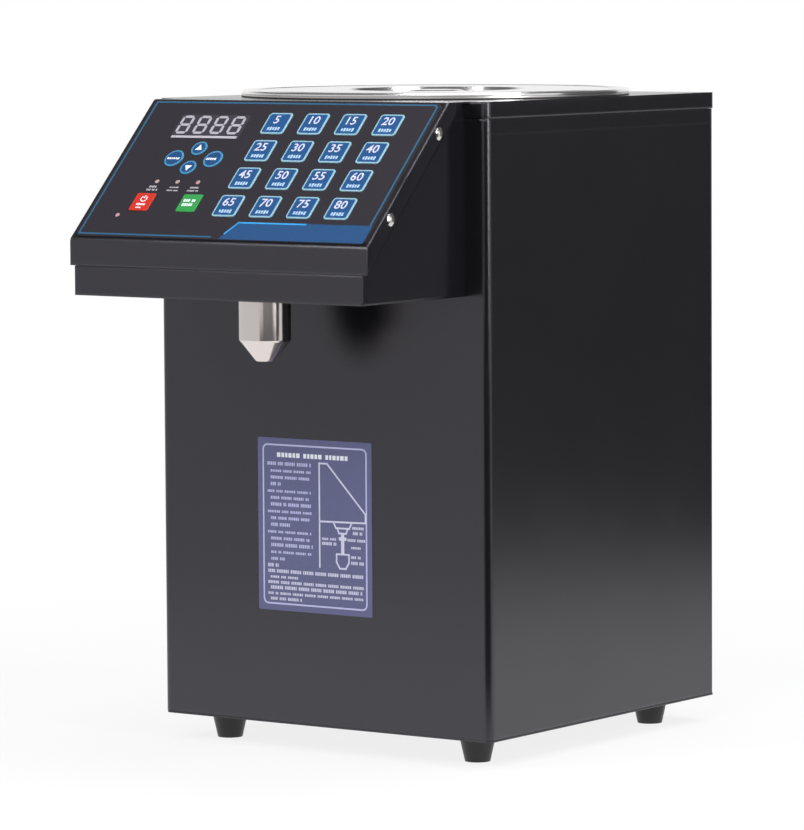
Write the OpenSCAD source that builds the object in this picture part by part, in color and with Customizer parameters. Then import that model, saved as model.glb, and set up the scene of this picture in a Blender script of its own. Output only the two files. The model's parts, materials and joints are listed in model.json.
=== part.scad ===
// Countertop syrup dispenser: a folded sheet-metal casing carries a round tank,
// a geared pump and a projecting control head with a sloped keypad and a nozzle.
// Casing frame: X to the right, Y to the back from the front face, Z up from the
// underside of the base. placed() moves it so that the feet stand on Z = 0 and the
// origin is the centre of the outer box.

/* [Casing] */
// Width of the casing
body_w = 270; // [262:1:300]
// Depth of the casing, front face to back panel
body_d = 276; // [270:1:310]
// Height of the casing above the feet
body_h = 420; // [412:1:450]
// Thickness of the casing sheet
sheet_t = 1.2; // [1:0.1:1.6]
// Outer radius of the front vertical bends
bend_r = 5; // [3:0.5:7]
// Depth of the top cover's turned-down flange
seam_drop = 11; // [8:1:14]
// Thickness of the base plate
base_t = 1.5; // [1.2:0.1:2]
// Width of the shell's rear return flanges
return_w = 14; // [12:1:18]
// Height of the base plate's turned-up flange
base_lip_h = 14; // [8:1:18]

/* [Feet] */
// Height of a rubber foot
foot_h = 18; // [12:1:25]
// Radius of a foot at the base plate
foot_top_r = 12.5; // [11:0.5:15]
// Radius of a foot at the floor
foot_low_r = 8.5; // [8:0.25:10.5]
// Distance of the foot centres from the sides, front and back
foot_inset = 32; // [26:1:40]

/* [Control head] */
// How far the head projects from the front face
head_out = 115; // [110:1:125]
// Height of the head at the casing
head_h = 127; // [122:1:140]
// Width of the folded cover
cover_w = 241; // [236:1:248]
// Width of the box under the cover
box_w = 233.6; // [228:0.2:234]
// Depth of the level strip above the keypad
head_top = 23; // [20:1:28]
// Fall of the sloped panel
head_drop = 90; // [84:1:96]
// Thickness of the cover and box sheet
cover_t = 1.5; // [1:0.1:1.8]
// Width of the cover's side and front flanges, square to the slope
flange_w = 12.4; // [11:0.2:14]
// Radius of the cover's bends
cover_bend_r = 3; // [2:0.5:4]
// Distance of the upper flange screw from the top of the slope
screw_top = 22; // [18:1:30]
// Distance of the lower flange screw from the top of the slope
screw_low = 98; // [90:1:106]

/* [Keypad] */
// Thickness of the keypad overlay
overlay_t = 1.2; // [1:0.1:1.5]
// Bare margin of the cover around the overlay
overlay_margin = 2.5; // [2:0.5:3.5]
// Side of a square number key
key_s = 19; // [17:0.5:20]
// Corner radius of a number key
key_r = 2.5; // [1.5:0.5:4]
// Column pitch of the number keys
key_pitch_x = 30; // [27:0.5:31]
// Row pitch of the number keys
key_pitch_v = 24.8; // [22.8:0.2:25]
// Centre of the first number key across the panel
key_x0 = -5.6; // [-7:0.2:-4]
// Centre of the first number key down the slope
key_v0 = 22.4; // [21:0.2:24]
// Side of the start and stop keys
action_s = 15.5; // [13:0.5:17]
// Radius of the round side keys
side_key_r = 7.3; // [6:0.1:8.2]
// Radius of the round up and down keys
arrow_key_r = 6.1; // [5:0.1:8]
// How far a key stands proud of the overlay
key_proud = 0.6; // [0.4:0.1:1]
// Travel of a key
key_travel = 0.45; // [0.3:0.05:0.6]
// Clearance around a key in the overlay
key_gap = 0.2; // [0.15:0.05:0.3]
// Width of the display window
window_w = 57; // [52:1:60]
// Height of the display window along the slope
window_h = 21; // [20:1:25]
// Radius of an indicator lens
led_r = 1.6; // [1.2:0.1:2.2]
// Depth of the control board behind the panel
board_depth = 13; // [11:1:15]
// Thickness of the control board
board_t = 1.6; // [1:0.1:2]

/* [Tank and lid] */
// Outer radius of the tank
tank_r = 116; // [105:1:118]
// Depth of the tank below the top cover
tank_deep = 205; // [180:1:210]
// Wall of the tank
tank_t = 1.2; // [1:0.1:1.5]
// Radius of the tank's rim flange
tank_rim_r = 132.5; // [128:0.5:133]
// Distance of the tank's rim behind the front face
rim_inset = 2; // [1:0.5:5]
// Outer radius of the lid
lid_r = 133; // [132:0.5:134.5]
// Thickness of the lid sheet
lid_t = 0.9; // [0.8:0.1:1.1]
// Height of the lid above the tank's rim
lid_rise = 2.2; // [2:0.1:3.5]
// Radius of the lid's recessed centre
dish_r = 62; // [55:1:68]
// Depth of the lid's recessed centre
dish_deep = 16; // [12:1:20]
// Radius of the lid's grip
grip_r = 20; // [16:1:24]
// Thickness of the gasket under the tank rim
gasket_t = 1; // [0.8:0.1:1.5]

/* [Pump] */
// Teeth of each pump gear
gear_teeth = 12; // [12:2:14]
// Gear module
gear_module = 2; // [1.8:0.1:2.2]
// Width of the pump gears
gear_w = 14; // [10:1:18]
// Clearance of the gears in the pump chamber
gear_gap = 0.1; // [0.06:0.02:0.2]
// Radius of the pump shafts
shaft_r = 4; // [3:0.5:4.5]
// Radial clearance of a shaft in its bore
run_gap = 0.05; // [0.03:0.01:0.09]
// Width and height of the pump block beyond the chamber
pump_wall = 15; // [12:1:17]
// Thickness of the pump block behind the gears
pump_back = 10; // [8:1:14]
// Thickness of the pump cover
pump_cover_t = 9; // [8:1:12]
// Radius of the motor
motor_r = 24; // [20:1:28]
// Length of the motor with its gearbox
motor_len = 105; // [85:1:115]
// Radius of the shaft coupling
coupling_r = 9; // [8:0.5:12]
// Length of the shaft coupling
coupling_len = 24; // [18:1:28]
// Sheet of the pump bracket
bracket_t = 3; // [2:0.5:4]

/* [Hoses and nozzle] */
// Outer radius of the silicone hoses
hose_r = 6; // [5.5:0.25:6.5]
// Bore radius of the silicone hoses
hose_bore_r = 4; // [3.5:0.1:4.4]
// Centreline radius of the hose bends
hose_bend_r = 19; // [16:0.5:20]
// Distance of the nozzle from the front face
nozzle_out = 62.3; // [56:0.1:68]
// Radius of the nozzle
nozzle_r = 17.2; // [14:0.1:19]
// Length of the nozzle's straight part
nozzle_len = 29; // [24:1:34]
// Length of the nozzle's cone
nozzle_cone = 13.6; // [10:0.2:16]
// Radius of the nozzle's tip
nozzle_tip_r = 6.75; // [5:0.25:9]
// Radius of the nozzle's outlet bore
nozzle_bore_r = 4; // [3:0.25:4.5]

/* [Front label] */
// Width of the front label
label_w = 94; // [80:1:110]
// Height of the front label
label_h = 116.5; // [100:0.5:125]
// Centre of the label to the right of the middle
label_x = -6; // [-20:1:20]
// Centre of the label above the base
label_z = 135; // [110:1:160]
// Thickness of the label
label_t = 0.4; // [0.3:0.1:0.8]
// Corner radius of the label
label_r = 1; // [0.5:0.5:6]

/* [Back] */
// Length of a ventilation slot
slot_len = 42; // [30:1:46]
// Height of a ventilation slot
slot_h = 3.6; // [3:0.2:3.8]
// Pitch of the ventilation slots
slot_pitch = 9; // [8:0.5:10]
// Slots in each column
slot_count = 9; // [6:1:11]
// Centre of the mains inlet to the right of the middle
inlet_x = 72; // [64:1:84]
// Height of the mains inlet's centre
inlet_z = 70; // [62:1:80]
// Height of the power switch's centre
switch_z = 108; // [104:1:130]
// Tilt of the rocker to each side of the level
rocker_tilt = 9; // [6:1:12]
// How far the inlet and switch flanges stand out
flange_out = 2.5; // [2:0.1:3]

/* [Screws] */
// Shank radius of the machine screws
screw_r = 2; // [1.75:0.05:2.2]
// Head radius of the machine screws
screw_head_r = 3.8; // [3.6:0.1:4.2]
// Head height of the machine screws
screw_head_h = 2; // [1.6:0.1:2.4]

/* [Hidden] */
$fn = 64;
eps = 0.01;
// Loose fit between sheets, and clearance of a screw in its hole
sheet_gap = 0.2;
hole_gap = 0.05;

// Casing: top edge of the shell, opening behind the head, vents of the base and back
shell_top_z = body_h - seam_drop - sheet_gap;
head_hole_side = 10;
head_hole_low = 8;
head_hole_top = 22;
vent_x = 50;
vent_low_z = 190;
base_vent_x = -56;
base_vent_y = 150;
base_vent_count = 7;

// Screw lengths, the foot's nut and the wider heads on the head's flanges
nut_r = 3.8;
nut_t = 3.2;
head_clear = 1;
back_screw_len = 8;
foot_screw_reach = 6;
pump_screw_reach = 14;
flange_screw_len = 8;
flange_head_r = 4.3;
flange_head_h = 2.2;
inlet_screw_r = 1.6;

// Rocker: half length and edge height of its face above the pin, tipped by its tilt
rocker_half = 7.1;
rocker_edge = 2.4;
rocker_mid = 3;
rocker_low = 1.5;
rocker_deep = 3;
rocker_foot = 2;
rear_out = rocker_half * sin(rocker_tilt) + rocker_edge * cos(rocker_tilt);

// Place of the casing in the part's own frame
front_y = (head_out - body_d - rear_out) / 2;

// Colours, as the object shows them
satin_black = [0.16, 0.16, 0.18];
steel = [0.82, 0.82, 0.83];
key_blue = [0.16, 0.32, 0.66];

// Head: slope angle, floor height and the flange's lower edges
panel_a = atan2(head_drop, head_out - head_top);
slope_len = norm([head_out - head_top, head_drop]);
head_floor = body_h - head_h;
panel_low_z = body_h - head_drop;
flange_front_z = panel_low_z - flange_w / cos(panel_a);
lip_h = 10;
joggle_h = 4;
boss_r = flange_w / 2 - cover_t - sheet_gap;

// Keypad: pieces across the panel (x) and down the slope (v)
overlay_w = cover_w - 2 * overlay_margin - 2;
overlay_v0 = overlay_margin;
overlay_v1 = slope_len - overlay_margin;
film_gap = 0.05;
window_x = -58.6;
window_r = 1.5;
overlay_r = 3;
window_v = 25.5;
display_gap = 0.3;
led_proud = 0.2;
arrow_x = -56.8;
arrow_up_v = 46.1;
arrow_down_v = 63.5;
left_x = -72.8;
right_x = -40.4;
side_v = 55.5;
stop_x = -77.4;
start_x = -38.6;
action_v = 95.3;
led_points = [[-75.6, 76.5], [-58.5, 76.5], [-41.6, 76.5], [-91.8, 107.3]];
key_under = key_travel + 0.05;
key_t = overlay_t + key_proud - key_under;
number_keys = [for (r = [0:3], c = [0:3]) [key_x0 + c * key_pitch_x, key_v0 + r * key_pitch_v]];

// Board behind the panel
board_w = 212;
board_v0 = 16;
board_v1 = 116;
board_h = board_v1 - board_v0;
board_post_r = 3;
board_post_in = 6;
board_hole_r = 1.5;
chip_size = [22, 22, 3];
chip_at = [40, 0];
terminal_size = [12, 30, 8];
terminal_at = [75, 20];
capacitor_r = 6;
capacitor_h = 9;
capacitor_at = [-70, -30];

// Tank and lid, all round the tank's axis
tank_y = rim_inset + tank_rim_r;
rim_z = body_h + gasket_t;
tank_floor_z = body_h - tank_deep;
// Chamfer of the weld between the tank's wall and its floor
tank_corner = 0.8;
tank_fit = 0.5;
lid_top_z = rim_z + tank_t + lid_rise;
lid_edge = 0.9;
// The lid's bead sits in the middle of the rim, or of as much rim as the lid covers
lid_seat_in = 3;
seat_out_r = min(tank_rim_r, lid_r - lid_seat_in);
bead_r = (tank_r + seat_out_r) / 2;
bead_share = 0.43;
bead_w = (seat_out_r - tank_r) * bead_share;
bead_floor_z = rim_z + tank_t;
// The skirt hides the rim's edge, or ends above the rim where the rim is wider
skirt_clear = 0.8;
skirt_low_z = lid_r - lid_t - sheet_gap > tank_rim_r ? body_h + skirt_clear : bead_floor_z + sheet_gap;
dish_z = lid_top_z - dish_deep;
dish_slope = 9;
lid_fold = 0.5;
locating_r = tank_r - tank_t - 1.3;
locating_h = 10;
grip_stem_r = 9;
grip_t = 5;
grip_low_z = lid_top_z - grip_t;
grip_foot = 2;
grip_round = 1;
outlet_r = 9;
outlet_flange_r = 13;
outlet_flange_t = 2;
outlet_nut_h = 6;

// Pump: gear geometry by the involute formula
pressure_a = 25;
pitch_r = gear_teeth * gear_module / 2;
tip_r = pitch_r + gear_module;
root_r = pitch_r - 1.25 * gear_module;
base_r = pitch_r * cos(pressure_a);
gear_backlash = 0.25;
chamber_r = tip_r + gear_gap;
pump_w = 2 * chamber_r + 2 * pump_wall;
pump_h = pump_w + 2 * pitch_r;
pump_x = -35;
port_y = 60;
bracket_base_z = base_t + bracket_t;
pump_under = 8;
pump_low_z = bracket_base_z + pump_under;
port_z = pump_low_z + pump_h / 2;
drive_z = port_z - pitch_r;
idler_z = port_z + pitch_r;
gear_y0 = port_y - gear_w / 2;
gear_y1 = gear_y0 + gear_w;
pump_y0 = gear_y0 - gear_gap;
pump_y1 = gear_y1 + gear_gap + pump_back;
journal_len = 6;
end_gap = 0.5;
shaft_free = 5;
coupling_y0 = pump_y1 + bracket_t + shaft_free;
coupling_y1 = coupling_y0 + coupling_len;
motor_y0 = coupling_y1 + shaft_free + bracket_t;
motor_boss_r = 11;
motor_tail_r = 8;
motor_tail_len = 5;
band_y = 34;
band_pitch = 40;
band_w = 2;
band_deep = 0.8;
motor_boss_len = bracket_t;
motor_shaft_in = 14;
pump_screw_in = 5;
pump_screw_x = pump_w / 2 - pump_screw_in;
pump_screw_z = pump_h / 2 - pump_screw_in;
pump_screws = [for (x = [-1, 1], z = [-1, 1]) [pump_x + x * pump_screw_x, port_z + z * pump_screw_z]];
pump_thread = 15;
port_in = 6;
chamber_half = 8;
bracket_side = 2;
bracket_w = pump_w + 2 * bracket_side;
bracket_y0 = pump_y1;
bracket_y1 = motor_y0;
bracket_screw_x = bracket_w / 2 - 8;
bracket_screw_in = 12;
bracket_over = 2;
shaft_clear = 2;

// Hose routes: corners of the centrelines
barb_len = 12;
barb_r = hose_bore_r - hole_gap;
fluid_r = barb_r - 1.2;
pump_left_x = pump_x - pump_w / 2;
pump_right_x = pump_x + pump_w / 2;
inlet_hose_x = pump_right_x + barb_len + hose_bend_r + 4;
rise_x = pump_left_x - barb_len - hose_bend_r - 2;
outlet_low_z = tank_floor_z - outlet_nut_h;
hose_level_z = head_floor + 43;
nozzle_y = -nozzle_out;
nut_h = 7;
fitting_top_z = head_floor + cover_t + nut_h + barb_len;
inlet_route = [
    [inlet_hose_x, port_y, outlet_low_z],
    [inlet_hose_x, port_y, port_z],
    [pump_right_x, port_y, port_z]
];
outlet_route = [
    [pump_left_x, port_y, port_z],
    [rise_x, port_y, port_z],
    [rise_x, port_y, hose_level_z],
    [rise_x, nozzle_y, hose_level_z],
    [0, nozzle_y, hose_level_z],
    [0, nozzle_y, fitting_top_z - barb_len + 1]
];
clamp_w = 6;
clamp_t = 1.2;
clamp_lug = 5;
clamp_in = 3;

// Nozzle: threaded fitting through the head's floor
fitting_r = 9;
fitting_in = 8;
nozzle_wall = 3;
nozzle_edge = 0.6;
nozzle_step = 6;
nut_across = 15;
nozzle_low_z = head_floor - nozzle_len - nozzle_cone;

// Back panel cut-outs
inlet_flange = [48, 22.5];
inlet_body = [27, 19.5];
inlet_recess = [24, 16];
inlet_deep = 17;
inlet_screw_x = 20;
inlet_corner = 5;
inlet_back = 3;
inlet_pins = [[-7, -1], [7, -1], [0, 3]];
pin_size = [2, 4];
pin_short = 3;
flange_r = 3;
panel_fit = 0.2;
switch_flange = [21, 15];
switch_hole = [17.5, 11.5];
switch_deep = 14;
switch_cavity = 6;
switch_corner = 1.5;
rocker_gap = 0.3;
rocker_pin_r = 1.2;
pin_reach = 0.7;
rocker_size = [15, 9.6];
back_screw_inset = 8;
back_screw_low = 9;
back_screw_high = body_h - seam_drop - 5;
psu_size = [97, 159, 38];
psu_x = 18;
psu_back_gap = 51;
psu_side = 5;
psu_terminal = [12, 14];
psu_slot = [60, 3];
psu_slot_y = 30;
psu_slot_count = 12;
psu_y = body_d - psu_back_gap - psu_size[1];

back_screws = [for (x = [-1, 0, 1], z = [0, 1])
    [x * (body_w / 2 - back_screw_inset), z == 0 ? back_screw_low : back_screw_high]];

// Point at distance r round a corner, for a bend of radius r with n steps
function unit(v) = v / norm(v);
function bend(a, p, b, r, n = 5) =
    let (u = unit(a - p), w = unit(b - p), half = acos(u * w) / 2)
    let (c = p + unit(u + w) * r / sin(half))
    let (s = p + u * r / tan(half), e = p + w * r / tan(half))
    let (a0 = atan2(s[1] - c[1], s[0] - c[0]), a1 = atan2(e[1] - c[1], e[0] - c[0]))
    let (turn = a1 - a0 > 180 ? a1 - a0 - 360 : a1 - a0 < -180 ? a1 - a0 + 360 : a1 - a0)
    [for (i = [0:n]) c + r * [cos(a0 + turn * i / n), sin(a0 + turn * i / n)]];

module placed() translate([0, front_y, foot_h]) children();

// A profile drawn in (Y, Z), run along X and centred on X = x
module along_x(w, x = 0) translate([x - w / 2, 0, 0]) rotate([90, 0, 90]) linear_extrude(w) children();

// A piece on the sloped panel: x across, y up the slope, z out of it
module on_panel() translate([0, -head_top, body_h]) rotate([panel_a, 0, 0]) children();

// A plate whose two front corners are rounded; front edge on Y = 0
module front_rounded(w, d, r) {
    translate([-w / 2, r]) square([w, d - r]);
    translate([-w / 2 + r, 0]) square([w - 2 * r, r + eps]);
    for (s = [-1, 1]) translate([s * (w / 2 - r), r]) circle(r);
}

module rounded_rect(w, h, r) {
    square([w, h - 2 * r], center = true);
    square([w - 2 * r, h], center = true);
    for (x = [-1, 1], y = [-1, 1]) translate([x * (w / 2 - r), y * (h / 2 - r)]) circle(r);
}

module stadium(len, h) {
    square([len - h, h], center = true);
    for (s = [-1, 1]) translate([s * (len - h) / 2, 0]) circle(h / 2);
}

// Casing outline set in by i on every side
module casing_outline(i, d = body_d)
    translate([0, i]) front_rounded(body_w - 2 * i, d - 2 * i, bend_r - min(i, bend_r - 1));

module ring(r_out, r_in, h) difference() {
    cylinder(r = r_out, h = h);
    translate([0, 0, -eps]) cylinder(r = r_in, h = h + 2 * eps);
}

// A screw along -Z from its head, seat on Z = 0
module pan_screw(len, r = screw_r, head_r = screw_head_r, head_h = screw_head_h) {
    translate([0, 0, -len]) cylinder(r = r, h = len + eps);
    intersection() {
        cylinder(r = head_r, h = head_h);
        translate([0, 0, head_h - head_r * 1.6]) sphere(head_r * 1.6);
    }
}

// A hexagon nut on Z = 0
module nut(bore, r, h) difference() {
    cylinder(r = r, h = h, $fn = 6);
    translate([0, 0, -1]) cylinder(r = bore, h = h + 2);
}

// ---- Casing ----

module body_shell() placed() color(satin_black) difference() {
    union() {
        translate([0, 0, base_t]) linear_extrude(shell_top_z - base_t) difference() {
            front_rounded(body_w, body_d - sheet_t, bend_r);
            translate([0, sheet_t]) front_rounded(body_w - 2 * sheet_t, body_d, bend_r - sheet_t);
        }
        for (s = [-1, 1])
            translate([s * (body_w - return_w) / 2, body_d - 1.5 * sheet_t, (body_h - seam_drop + base_t) / 2])
                cube([return_w, sheet_t, shell_top_z - sheet_gap - base_t], center = true);
        shell_joggle();
    }
    translate([-box_w / 2 + head_hole_side, -1, head_floor + head_hole_low])
        cube([box_w - 2 * head_hole_side, 10, head_h - head_hole_low - head_hole_top]);
    back_screw_holes();
}

// Lip that steps in from the shell and rises inside the top cover's flange
module shell_joggle() {
    lip_low = shell_top_z - lip_h;
    translate([0, 0, lip_low]) linear_extrude(lip_h) lip_outline(sheet_t / 2);
    translate([0, 0, lip_low]) linear_extrude(body_h - sheet_t - lip_low) lip_outline(sheet_t + sheet_gap);
}

module lip_outline(i) difference() {
    casing_outline(i, body_d - 2 * sheet_t);
    casing_outline(2 * sheet_t + sheet_gap, body_d - 2 * sheet_t);
}

module top_cover() placed() color(satin_black) difference() {
    translate([0, 0, body_h - seam_drop]) linear_extrude(seam_drop) front_rounded(body_w, body_d, bend_r);
    translate([0, 0, body_h - seam_drop - 1]) linear_extrude(seam_drop + 1 - sheet_t) casing_outline(sheet_t);
    translate([0, tank_y, body_h - 10]) cylinder(r = tank_r + tank_fit, h = 20, $fn = 128);
}

module base_plate() placed() color(satin_black) difference() {
    union() {
        linear_extrude(base_t) casing_outline(sheet_gap);
        linear_extrude(base_t + base_lip_h) difference() {
            casing_outline(sheet_t + sheet_gap, body_d - 3 * sheet_t);
            casing_outline(2 * sheet_t + sheet_gap, body_d - 3 * sheet_t);
        }
    }
    for (p = concat(foot_points(), bracket_points()))
        translate([p[0], p[1], -1]) cylinder(r = screw_r + hole_gap, h = 5);
    back_screw_holes();
    for (k = [0:base_vent_count - 1]) translate([base_vent_x, base_vent_y + k * slot_pitch, base_t / 2])
        linear_extrude(2 * base_t, center = true) stadium(slot_len, slot_h);
}

module back_screw_holes() for (p = back_screws)
    translate([p[0], body_d + 1, p[1]]) rotate([90, 0, 0]) cylinder(r = screw_r + hole_gap, h = 10);

function foot_points() =
    [for (x = [-1, 1], y = [foot_inset, body_d - foot_inset]) [x * (body_w / 2 - foot_inset), y]];

module feet() placed() color([0.1, 0.1, 0.1])
    for (p = foot_points()) translate([p[0], p[1], -foot_h]) difference() {
        cylinder(r1 = foot_low_r, r2 = foot_top_r, h = foot_h);
        translate([0, 0, -1]) cylinder(r = screw_head_r + head_clear, h = foot_h / 2 + 1);
        cylinder(r = screw_r + hole_gap, h = foot_h + 1);
    }

module back_panel() placed() color(satin_black) difference() {
    translate([-body_w / 2 + 1, body_d - sheet_t, base_t]) cube([body_w - 2, sheet_t, shell_top_z - base_t]);
    for (x = [-1, 1], k = [0:slot_count - 1]) translate([x * vent_x, body_d, vent_low_z + k * slot_pitch])
        rotate([90, 0, 0]) linear_extrude(5, center = true) stadium(slot_len, slot_h);
    back_cut(inlet_z, inlet_body);
    back_cut(switch_z, switch_hole);
    back_screw_holes();
    for (s = [-1, 1]) translate([inlet_x + s * inlet_screw_x, body_d + 1, inlet_z])
        rotate([90, 0, 0]) cylinder(r = inlet_screw_r, h = 10);
}

module back_cut(z, size) translate([inlet_x, body_d, z])
    cube([size[0] + 2 * panel_fit, 10, size[1] + 2 * panel_fit], center = true);

module machine_screws() placed() color(steel) {
    for (p = foot_points()) translate([p[0], p[1], -foot_h / 2]) mirror([0, 0, 1])
        pan_screw(foot_h / 2 + base_t + foot_screw_reach);
    for (p = foot_points()) translate([p[0], p[1], base_t]) nut(screw_r + hole_gap, nut_r, nut_t);
    for (p = back_screws) translate([p[0], body_d, p[1]]) rotate([-90, 0, 0]) pan_screw(back_screw_len);
    for (p = bracket_points()) translate([p[0], p[1], bracket_base_z]) pan_screw(bracket_base_z);
    for (p = pump_screws) translate([p[0], pump_y0 - pump_cover_t, p[1]]) rotate([90, 0, 0])
        pan_screw(pump_cover_t + pump_screw_reach);
}

// ---- Control head ----

module head_box() placed() color(satin_black) difference() {
    union() {
        for (s = [-1, 1]) along_x(cover_t, s * (box_w - cover_t) / 2) polygon(box_side_points());
        translate([-box_w / 2, -head_out, head_floor]) cube([box_w, head_out, cover_t]);
        translate([-box_w / 2, -head_out, head_floor])
            cube([box_w, cover_t, flange_front_z - head_floor - sheet_gap]);
        translate([-box_w / 2, -head_out + cover_t - eps, flange_front_z - joggle_h - sheet_gap])
            cube([box_w, eps + sheet_gap + cover_t, joggle_h]);
        translate([-box_w / 2, -head_out + cover_t + sheet_gap, flange_front_z - joggle_h - sheet_gap])
            cube([box_w, cover_t, panel_low_z - flange_front_z]);
        flange_screw_places() translate([0, 0, (box_w - cover_w) / 2 - eps])
            cylinder(r = boss_r, h = (cover_w - box_w) / 2 - cover_t + eps);
    }
    flange_screw_places() translate([0, 0, -15]) cylinder(r = screw_r + hole_gap, h = 20);
    translate([0, nozzle_y, head_floor - 1]) cylinder(r = fitting_r + hole_gap, h = 10);
}

// Side of the box: it follows the inside of the cover at the depth t, a gap behind the sheet
function box_side_points() =
    let (t = cover_t + sheet_gap, back = [0, body_h - t], low = [-head_out + t, flange_front_z - sheet_gap])
    let (knee = [-head_top + t * tan(panel_a / 2), body_h - t])
    let (nose = [-head_out + t, panel_low_z - t * tan((90 - panel_a) / 2)])
    concat([[0, head_floor], [-head_out, head_floor], [-head_out, flange_front_z - sheet_gap], low],
        bend(low, nose, knee, cover_bend_r), bend(nose, knee, back, cover_bend_r), [back]);

// Seats of the flange screws: Z points out of the side flange at distance v down the slope
module flange_screw_places() for (side = [-1, 1], v = [screw_top, screw_low]) {
    across = flange_w / 2;
    y = -head_top - v * cos(panel_a) + across * sin(panel_a);
    z = body_h - v * sin(panel_a) - across * cos(panel_a);
    translate([side * cover_w / 2, y, z]) rotate([0, side * 90, 0]) children();
}

module head_cover() placed() color(satin_black) difference() {
    union() {
        along_x(cover_w) polygon(cover_section());
        for (s = [-1, 1]) along_x(cover_t, s * (cover_w - cover_t) / 2) polygon(flange_points());
        on_panel() for (x = [-1, 1], v = [board_v0 + board_post_in, board_v1 - board_post_in])
            translate([x * (board_w / 2 - board_post_in), -v, -board_depth])
                cylinder(r = board_post_r, h = board_depth - cover_t / 2);
    }
    on_panel() translate([window_x, -window_v, -cover_t - 1])
        linear_extrude(10) square([window_w - 4, window_h - 4], center = true);
    on_panel() for (p = led_points) translate([p[0], -p[1], -cover_t - 1])
        cylinder(r = led_r + hole_gap, h = 10);
    flange_screw_places() translate([0, 0, -5]) cylinder(r = screw_r + hole_gap, h = 10);
}

// Folded strip of the cover: level top, slope and front flange with bent corners
function cover_section() =
    let (back = [0, body_h], knee = [-head_top, body_h], nose = [-head_out, panel_low_z])
    let (low = [-head_out, flange_front_z], t = cover_t)
    let (back_in = [0, body_h - t], knee_in = [-head_top + t * tan(panel_a / 2), body_h - t])
    let (nose_in = [-head_out + t, panel_low_z - t * tan((90 - panel_a) / 2)])
    let (low_in = [-head_out + t, flange_front_z])
    concat([back], bend(back, knee, nose, cover_bend_r + t), bend(knee, nose, low, cover_bend_r + t), [low],
        [low_in], bend(low_in, nose_in, knee_in, cover_bend_r), bend(nose_in, knee_in, back_in, cover_bend_r),
        [back_in]);

function flange_points() =
    let (knee = [-head_top, body_h], nose = [-head_out, panel_low_z])
    let (top = [-head_top + flange_w / sin(panel_a), body_h], low = [-head_out, flange_front_z])
    concat(bend(top, knee, nose, cover_bend_r + cover_t), bend(knee, nose, low, cover_bend_r + cover_t),
        [low, top]);

module cover_screws() placed() color(steel)
    flange_screw_places() pan_screw(flange_screw_len, head_r = flange_head_r, head_h = flange_head_h);

// ---- Keypad ----

module square_key(p, s, r) on_panel() translate([p[0], -p[1], key_under + film_gap])
    linear_extrude(key_t) rounded_rect(s, s, r);

module round_key(p, r) on_panel() translate([p[0], -p[1], key_under + film_gap])
    cylinder(r = r, h = key_t);

module keypad_overlay() placed() color([0.2, 0.19, 0.22])
    on_panel() translate([0, 0, film_gap]) linear_extrude(overlay_t) overlay_outline();

module key_window(p, s) translate([p[0], -p[1]])
    rounded_rect(s + 2 * key_gap, s + 2 * key_gap, key_r + key_gap);

module overlay_outline() difference() {
    translate([0, -(overlay_v0 + overlay_v1) / 2]) rounded_rect(overlay_w, overlay_v1 - overlay_v0, overlay_r);
    for (p = number_keys) key_window(p, key_s);
    for (x = [stop_x, start_x]) key_window([x, action_v], action_s);
    for (v = [arrow_up_v, arrow_down_v]) translate([arrow_x, -v]) circle(arrow_key_r + key_gap);
    for (x = [left_x, right_x]) translate([x, -side_v]) circle(side_key_r + key_gap);
    translate([window_x, -window_v]) rounded_rect(window_w + 2 * hole_gap, window_h + 2 * hole_gap, window_r);
    for (p = led_points) translate([p[0], -p[1]]) circle(led_r + hole_gap);
}

module display_window() placed() color([0.4, 0.42, 0.44]) on_panel()
    translate([window_x, -window_v, film_gap])
        linear_extrude(overlay_t) rounded_rect(window_w, window_h, window_r);

module display_module() placed() color([0.15, 0.15, 0.16]) on_panel()
    translate([window_x, -window_v, -board_depth + board_t])
        linear_extrude(board_depth - board_t - cover_t - display_gap)
            square([window_w - 5, window_h - 5], center = true);

module control_board() placed() color([0.1, 0.35, 0.2]) on_panel()
    translate([0, -(board_v0 + board_v1) / 2, -board_depth - board_t]) difference() {
        union() {
            translate([-board_w / 2, -board_h / 2, 0]) cube([board_w, board_h, board_t]);
            translate([chip_at[0], chip_at[1], -chip_size[2]]) cube(chip_size + [0, 0, eps]);
            translate([terminal_at[0], terminal_at[1], -terminal_size[2]]) cube(terminal_size + [0, 0, eps]);
            translate([capacitor_at[0], capacitor_at[1], -capacitor_h])
                cylinder(r = capacitor_r, h = capacitor_h + eps);
        }
        for (x = [-1, 1], y = [-1, 1])
            translate([x * (board_w / 2 - board_post_in), y * (board_h / 2 - board_post_in), -1])
                cylinder(r = board_hole_r, h = board_t + 2);
    }

module indicator_leds() placed() color([0.8, 0.7, 0.7]) on_panel()
    for (p = led_points) translate([p[0], -p[1], -board_depth])
        cylinder(r = led_r, h = board_depth + overlay_t + led_proud);

module instruction_label() placed() color([0.34, 0.35, 0.48])
    translate([label_x, 0, label_z]) rotate([90, 0, 0])
        linear_extrude(label_t) rounded_rect(label_w, label_h, label_r);

// ---- Tank and lid ----

module round_part() placed() translate([0, tank_y, 0]) rotate_extrude($fn = 128) children();

module tank() color(steel) difference() {
    round_part() polygon([
        [0, tank_floor_z], [tank_r - tank_corner, tank_floor_z], [tank_r, tank_floor_z + tank_corner],
        [tank_r, rim_z], [tank_rim_r, rim_z], [tank_rim_r, rim_z + tank_t], [tank_r - tank_t, rim_z + tank_t],
        [tank_r - tank_t, tank_floor_z + tank_t], [0, tank_floor_z + tank_t]
    ]);
    placed() translate([inlet_hose_x, port_y, tank_floor_z - 1]) cylinder(r = outlet_r + hole_gap, h = 10);
}

module tank_gasket() color([0.85, 0.85, 0.82]) round_part()
    translate([tank_r + tank_fit, body_h]) square([tank_rim_r - tank_r - tank_fit, gasket_t]);

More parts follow.
